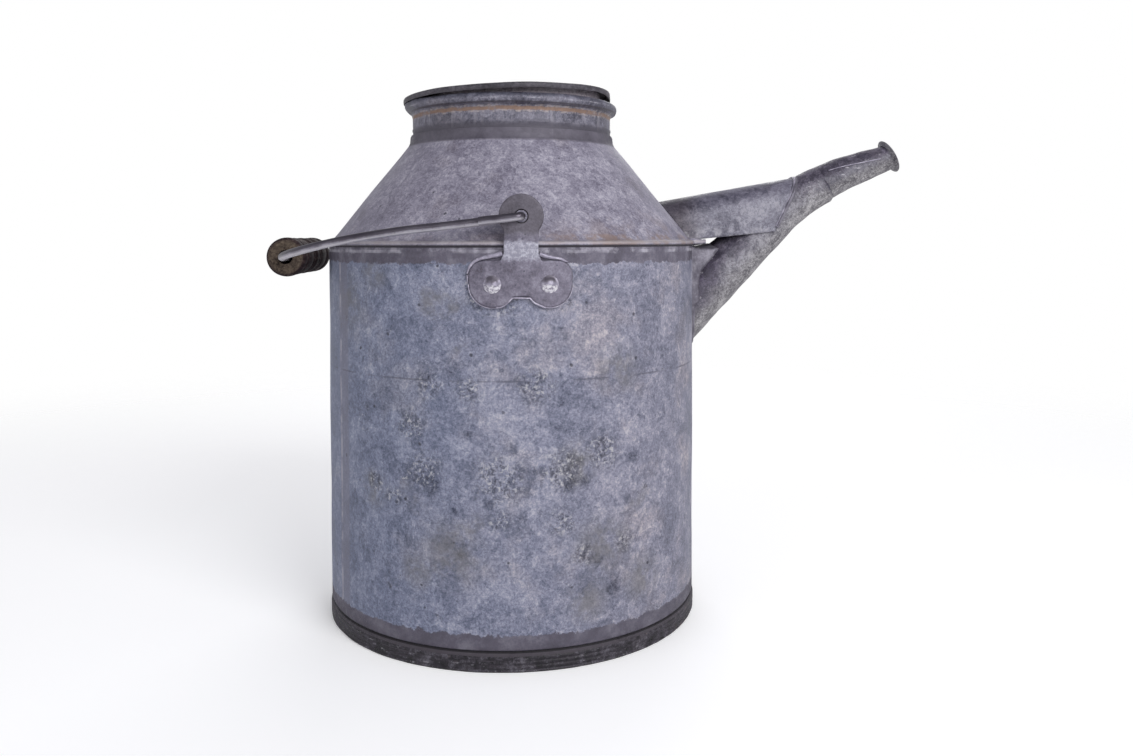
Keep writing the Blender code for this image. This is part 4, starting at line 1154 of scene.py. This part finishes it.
def make_flange():
    """The spout's foot: a wiped strip that lies on the can round the tube."""
    columns = 120
    spans = 6
    joint = []
    for j in range(columns):
        a = math.tau * j / columns
        p = tube_point(tube_start(a), a)
        joint.append((math.atan2(p.y, p.x - CAN_X) * BODY_RADIUS, p.z))
    middle = sum(z for _, z in joint) / columns
    rows = []
    for i in range(spans + 1):
        share = i / spans
        row = []
        for w, z in joint:
            away = Vector((w, z - middle)).normalized()
            width = 0.0075 + 0.0012 * ripple((w, z, 0), 0.008, 2.5)
            ww = w + away.x * width * share
            zz = min(SEAM - 0.0006, z + away.y * width * share)
            r = BODY_RADIUS + 0.00075 * (1 - share ** 3) + 0.00012 + 0.0001 * ripple((ww, zz, 0), 0.004, 1.0)
            row.append(can_point(ww / BODY_RADIUS, r, zz))
        rows.append(row)
    flange = grid_mesh("spout_foot_strip", rows, wrap_columns=True)
    add_wall(flange, 0.0005)
    link(flange, "can", "galvanised_spout", "solder")


def draw_in_eye(vertex):
    """Roughens an ear's vertex and draws the eye in round the wire."""
    vertex.co += vertex.normal * 0.0001 * ripple(vertex.co, 0.0035, 2.0)
    out = Vector((vertex.co.x - HINGE.x, 0, vertex.co.z - HINGE.z))
    if 0.001 < out.length < EYE_REACH:
        vertex.co -= out.normalized() * EYE_SHRINK * min(1.0, (EYE_REACH - out.length) / 0.0028)


def make_ear(side, place):
    """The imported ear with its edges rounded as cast, its solder and its two rivets."""
    node = frame["nodes"]["ear_" + place]
    ear = bpy.data.objects.new("ear_casting_" + place, node.data.copy())
    bpy.context.scene.collection.objects.link(ear)
    fix_normals(ear.data)
    remesh = ear.modifiers.new("Remesh", "REMESH")
    remesh.mode = "VOXEL"
    remesh.voxel_size = 0.00042
    smooth = ear.modifiers.new("Smooth", "SMOOTH")
    smooth.factor = 0.5
    smooth.iterations = 7
    bpy.context.view_layer.update()
    mesh = bpy.data.meshes.new_from_object(ear.evaluated_get(bpy.context.evaluated_depsgraph_get()))
    ear.modifiers.clear()
    ear.data = mesh
    for vertex in mesh.vertices:
        draw_in_eye(vertex)
    mesh.shade_smooth()
    link(ear, "can", "cast_ear", "ear", "ear_" + place)
    make_ear_solder(side, place)
    lean = math.asin(RIVET_SPACING / 2 / BODY_RADIUS)
    for offset, hand in ((-1, "left"), (1, "right")):
        make_rivet(f"{place}_rivet_{hand}", side * (math.pi / 2 - offset * lean))


def make_rivet(name, angle):
    base = BODY_RADIUS + 0.0026
    outline = [(0.0, 0.0021), (0.0008, 0.002), (0.0017, 0.0017), (0.0026, 0.0012), (0.0033, 0.0006),
               (RIVET_HEAD, 0.0001), (RIVET_HEAD, -0.0002), (0.0023, -0.0003), (0.0023, -0.0034),
               (0.0033, -0.0036), (0.0033, -0.0042), (0.0024, -0.0049), (0.0, -0.005)]
    turn = Matrix.Rotation(angle, 4, "Z") @ Matrix.Rotation(math.pi / 2, 4, "Y")
    place = Matrix.Translation((CAN_X, 0, SEAM - RIVET_DROP)) @ turn @ Matrix.Translation((0, 0, base))

    def hammered(a, r, z):
        return r, z + (0.00022 * dent(a, r, angle, 0.0018, 3.0) if z > 0 else 0.0)

    rivet = turned(name, densify(outline, 0.0005), 40, shape=hammered, place=place)
    link(rivet, "can", "rivet_iron", "rivet", "ear_" + name)


def ear_base_outline():
    """Base of an ear in the wall's own (x, z), about the seam: its upper corners and its lobes."""
    half = RIVET_SPACING / 2
    z = -RIVET_DROP
    cx, cz = half + LOBE_RADIUS - LOBE_CORNER, z + LOBE_RADIUS - LOBE_CORNER
    left = arc((-cx, cz), LOBE_CORNER, 90, 180, 8) + arc((-half, z), LOBE_RADIUS, 180, 325, 16)
    right = arc((half, z), LOBE_RADIUS, 215, 360, 16) + arc((cx, cz), LOBE_CORNER, 0, 90, 8)
    return left + right


# Lumps of solder over an ear's base, in mm from the strap's middle and from the seam
EAR_LUMPS = {
    "left": ((-8.6, -3.2), (-11.5, -4.0), (-15.0, -4.8), (-19.0, -5.8), (-22.6, -8.0),
             (-24.8, -12.0), (-25.0, -17.0)),
    "right": ((8.6, -3.4), (11.5, -4.6), (15.0, -5.4), (18.5, -6.0), (22.0, -7.6)),
}


def ear_point(side, x, z, lift):
    """Point over the wall at an ear: x to the right as seen from outside, z from the seam."""
    return can_point(side * math.pi / 2 - side * x / BODY_RADIUS, BODY_RADIUS + lift, SEAM + z)


def make_ear_solder(side, place):
    """Solder that creeps out round an ear's base, with rims, notch and lumps in extra-light solder whose tone
    paints their highlights.
    """
    outline = ear_base_outline()
    centre = Vector((0.0, -RIVET_DROP))
    spans = 5
    rows = []
    for i in range(spans + 1):
        fall = 1 - i / spans
        row = []
        for x, z in densify(outline, 0.0012):
            p = Vector((x, z))
            away = (p - centre).normalized()
            width = 0.003 + 0.0022 * ripple((x * side, z, 0), 0.009, 4.0)
            q = p - away * 0.0012 + away * (width + 0.0012) * i / spans
            lift = 0.0001 + 0.0011 * fall ** 1.4 + 0.00022 * ripple((q.x, q.y, side), 0.0028, 6.0) * fall
            row.append(ear_point(side, q.x, q.y, lift))
        rows.append(row)
    # Painted highlight: thin beads of extra-light solder along the lobes' rims and the notch.
    rim = [ear_point(side, x, z, 0.0024) for x, z in densify(outline[9:-10], 0.001)]
    bead("ear_rim_" + place, rim, 0.0003, 2.0 + side, "bright", 0.8)
    notch = [(x, z + 0.0002 * math.sin(x * 900)) for x, z in outline[20:32]]
    notch = [ear_point(side, x, z, 0.0026) for x, z in densify(notch, 0.0008)]
    bead("ear_notch_" + place, notch, 0.00055, 4.0 + side, "bright", 0.8)
    for hand, lump in EAR_LUMPS.items():
        lump = smooth_path([ear_point(side, x / 1000, z / 1000, 0.001) for x, z in lump], 0.0008)
        bead(f"ear_lump_{place}_{hand}", lump, 0.0023, 6.0 + side, "bright", 0.6, 0.25)
    solder = grid_mesh("ear_solder_" + place, rows)
    add_wall(solder, 0.0004)
    link(solder, "can", "galvanised_body", "solder")


def bail_path():
    """Centre line of half the wire, from the cut tail to the middle of the grip."""
    arm = 0.103
    tail = 0.1102
    bend = 0.0025
    straight = 0.072
    grip_end = 0.047
    points = [(0.0198, 0.108, 0.0009), (0.016, 0.1088, 0.0008), (0.011, 0.1099, 0.0004)]
    points += [(x, y, 0) for x, y in arc((bend, tail - bend), bend, 90, 180, 5)]
    points += [(x, y, 0) for x, y in arc((bend, arm + bend), bend, 180, 270, 5)]
    points += [(0.012, arm, 0.0003), (0.036, arm, 0.0014), (0.055, arm, 0.0025), (straight, arm, 0.0027)]
    for i in range(1, 10):
        a = math.radians(10 * i)
        points.append((straight + (BAIL_REACH - straight) * math.sin(a),
                       grip_end + (arm - grip_end) * math.cos(a), 0.0027 * math.cos(a) ** 2))
    points.append((BAIL_REACH, 0.02, 0.0))
    return points


def make_bail():
    half = bail_path()
    droop = Matrix.Translation(HINGE) @ Matrix.Rotation(-BAIL_DROOP, 4, "Y")
    points = [droop @ Vector((-x, -y, z)) for x, y, z in half]
    points += [droop @ Vector((-x, y, z)) for x, y, z in reversed(half)]
    path = smooth_path(points, 0.0012)
    wire = tube_along("bail_rod", path, [WIRE_RADIUS * (1 + 0.02 * ripple(p, 0.008, 2.0)) for p in path], 20)
    link(wire, "bail", "bail_steel", "wire", "bail_wire")


# Half of the grip's section, from its end face to its middle: radius, distance from the middle
GRIP_HALF = (
    (0.0037, 0.0446), (0.0044, 0.045), (0.007, 0.045), (0.0088, 0.0445), (0.0098, 0.0432), (0.01015, 0.041),
    (0.01015, 0.037), (0.0098, 0.0345), (0.0089, 0.0333), (0.0086, 0.0322), (0.009, 0.0312), (0.0097, 0.0306),
    (0.0099, 0.029), (0.01, 0.022), (0.0099, 0.0155), (0.0095, 0.0142), (0.0083, 0.0134), (0.0082, 0.0122),
    (0.0092, 0.0114), (0.0098, 0.0104), (0.0098, 0.0086), (0.0092, 0.0076), (0.0082, 0.0068), (0.0082, 0.0056),
    (0.0093, 0.0048), (0.0099, 0.0038), (0.01, 0.0))
GRIP_BORE = ((0.0037, -0.0446), (0.0034, -0.038), (0.0024, -0.036), (0.0024, 0.036), (0.0034, 0.038))


def make_grip():
    outline = [*GRIP_HALF, *[(r, -z) for r, z in reversed(GRIP_HALF[:-1])], *GRIP_BORE]
    place = Matrix.Translation(GRIP_CENTRE) @ Matrix.Rotation(math.pi / 2, 4, "X")

    def wear_and_painted_light(a, r, z):
        return r + (0.00012 * dent(a, r, z * 0.4, 0.006, 5.0) if r > 0.005 else 0), z

    grip = turned("grip_turning", outline, 72, closed=True, shape=wear_and_painted_light, place=place)
    link(grip, "grip", "turned_wood", "wood", "bail_grip")


def floor_material():
    """Plain white that keeps shadows and fades out before the horizon."""
    mat = bpy.data.materials.new("floor_white")
    mat.use_nodes = True
    nodes, links = mat.node_tree.nodes, mat.node_tree.links
    shader = nodes["Principled BSDF"]
    shader.inputs["Base Color"].default_value = (0.92, 0.92, 0.92, 1)
    shader.inputs["Roughness"].default_value = 1.0
    shader.inputs["Specular IOR Level"].default_value = 0.0
    shader.inputs["Emission Color"].default_value = WHITE
    path = nodes.new("ShaderNodeLightPath")
    lift = nodes.new("ShaderNodeMath")
    lift.operation = "MULTIPLY"
    lift.inputs[1].default_value = FLOOR_LIFT
    links.new(path.outputs["Is Camera Ray"], lift.inputs[0])
    links.new(lift.outputs[0], shader.inputs["Emission Strength"])
    coords = nodes.new("ShaderNodeTexCoord")
    away = nodes.new("ShaderNodeVectorMath")
    away.operation = "LENGTH"
    fade = nodes.new("ShaderNodeMapRange")
    fade.interpolation_type = "SMOOTHSTEP"
    fade.inputs["From Min"].default_value = FLOOR_FADE[1]
    fade.inputs["From Max"].default_value = FLOOR_FADE[0]
    links.new(coords.outputs["Object"], away.inputs[0])
    links.new(away.outputs["Value"], fade.inputs["Value"])
    links.new(fade.outputs[0], shader.inputs["Alpha"])
    return mat


def make_stage():
    mesh = bpy.data.meshes.new("floor")
    edit = bmesh.new()
    bmesh.ops.create_grid(edit, x_segments=1, y_segments=1, size=FLOOR_FADE[1])
    edit.to_mesh(mesh)
    edit.free()
    floor = bpy.data.objects.new("floor", mesh)
    floor.location = (CAN_X, 0, 0)
    bpy.context.scene.collection.objects.link(floor)
    floor.data.materials.append(floor_material())


def add_lamp(name, azimuth, height, distance, size, power):
    """Soft disc lamp: degrees to the right of the front, degrees up."""
    light = bpy.data.lights.new(name, "AREA")
    light.shape = "DISK"
    light.size = size
    light.energy = power
    obj = bpy.data.objects.new(name, light)
    a, e = math.radians(azimuth), math.radians(height)
    away = Vector((math.sin(a) * math.cos(e), -math.cos(a) * math.cos(e), math.sin(e)))
    obj.location = Vector((CAN_X, 0, SEAM * 0.7)) + away * distance
    obj.rotation_euler = (-away).to_track_quat("-Z", "Y").to_euler()
    bpy.context.scene.collection.objects.link(obj)


def make_light():
    """White to the camera, pale grey that darkens upwards for everything else, and three lamps."""
    world = bpy.data.worlds.new("studio")
    bpy.context.scene.world = world
    world.use_nodes = True
    nodes, links = world.node_tree.nodes, world.node_tree.links
    path = nodes.new("ShaderNodeLightPath")
    mix = nodes.new("ShaderNodeMix")
    mix.data_type = "RGBA"
    mix.inputs[7].default_value = WHITE
    height = nodes.new("ShaderNodeSeparateXYZ")
    links.new(nodes.new("ShaderNodeTexCoord").outputs["Generated"], height.inputs[0])
    ramp = nodes.new("ShaderNodeValToRGB")
    for element, place, colour in zip(ramp.color_ramp.elements, (0.05, 0.75), (LIGHT_AROUND, LIGHT_ABOVE)):
        element.position = place
        element.color = (*colour, 1)
    links.new(height.outputs[2], ramp.inputs[0])
    links.new(ramp.outputs[0], mix.inputs[6])
    links.new(path.outputs["Is Camera Ray"], mix.inputs[0])
    links.new(mix.outputs[2], nodes["Background"].inputs["Color"])
    add_lamp("key", 28, 27, 1.3, 0.8, 11.0)
    add_lamp("fill", -60, 12, 1.3, 0.9, 1.5)
    add_lamp("back", 170, 30, 1.4, 1.0, 6.0)


def make_camera():
    camera = bpy.data.cameras.new("photo_camera")
    camera.sensor_width = 36
    camera.lens = FOCAL_PIXELS / PHOTO_WIDTH * camera.sensor_width
    camera.shift_y = (AXIS_ROW - PHOTO_HEIGHT / 2) / PHOTO_WIDTH
    camera.clip_start = 0.01
    obj = bpy.data.objects.new("photo_camera", camera)
    turn = Matrix.Rotation(-CAN_TURN, 4, "Z")
    place = AXIS_X @ turn @ Vector((CAMERA_SIDE, -CAMERA_DISTANCE, CAMERA_HEIGHT))
    look = turn @ Matrix.Rotation(math.pi / 2 - CAMERA_PITCH, 4, "X") @ Matrix.Rotation(CAMERA_ROLL, 4, "Z")
    obj.matrix_world = Matrix.Translation(place) @ look
    bpy.context.scene.collection.objects.link(obj)
    bpy.context.scene.camera = obj


make_camera()
make_body()
make_foot()
make_shoulder()
make_neck()
make_lid()
make_spout()
make_brace()
make_solder()
make_ear(-1, "front")
make_ear(1, "back")
make_bail()
make_grip()
make_stage()
make_light()
bpy.context.scene.view_settings.view_transform = "Standard"
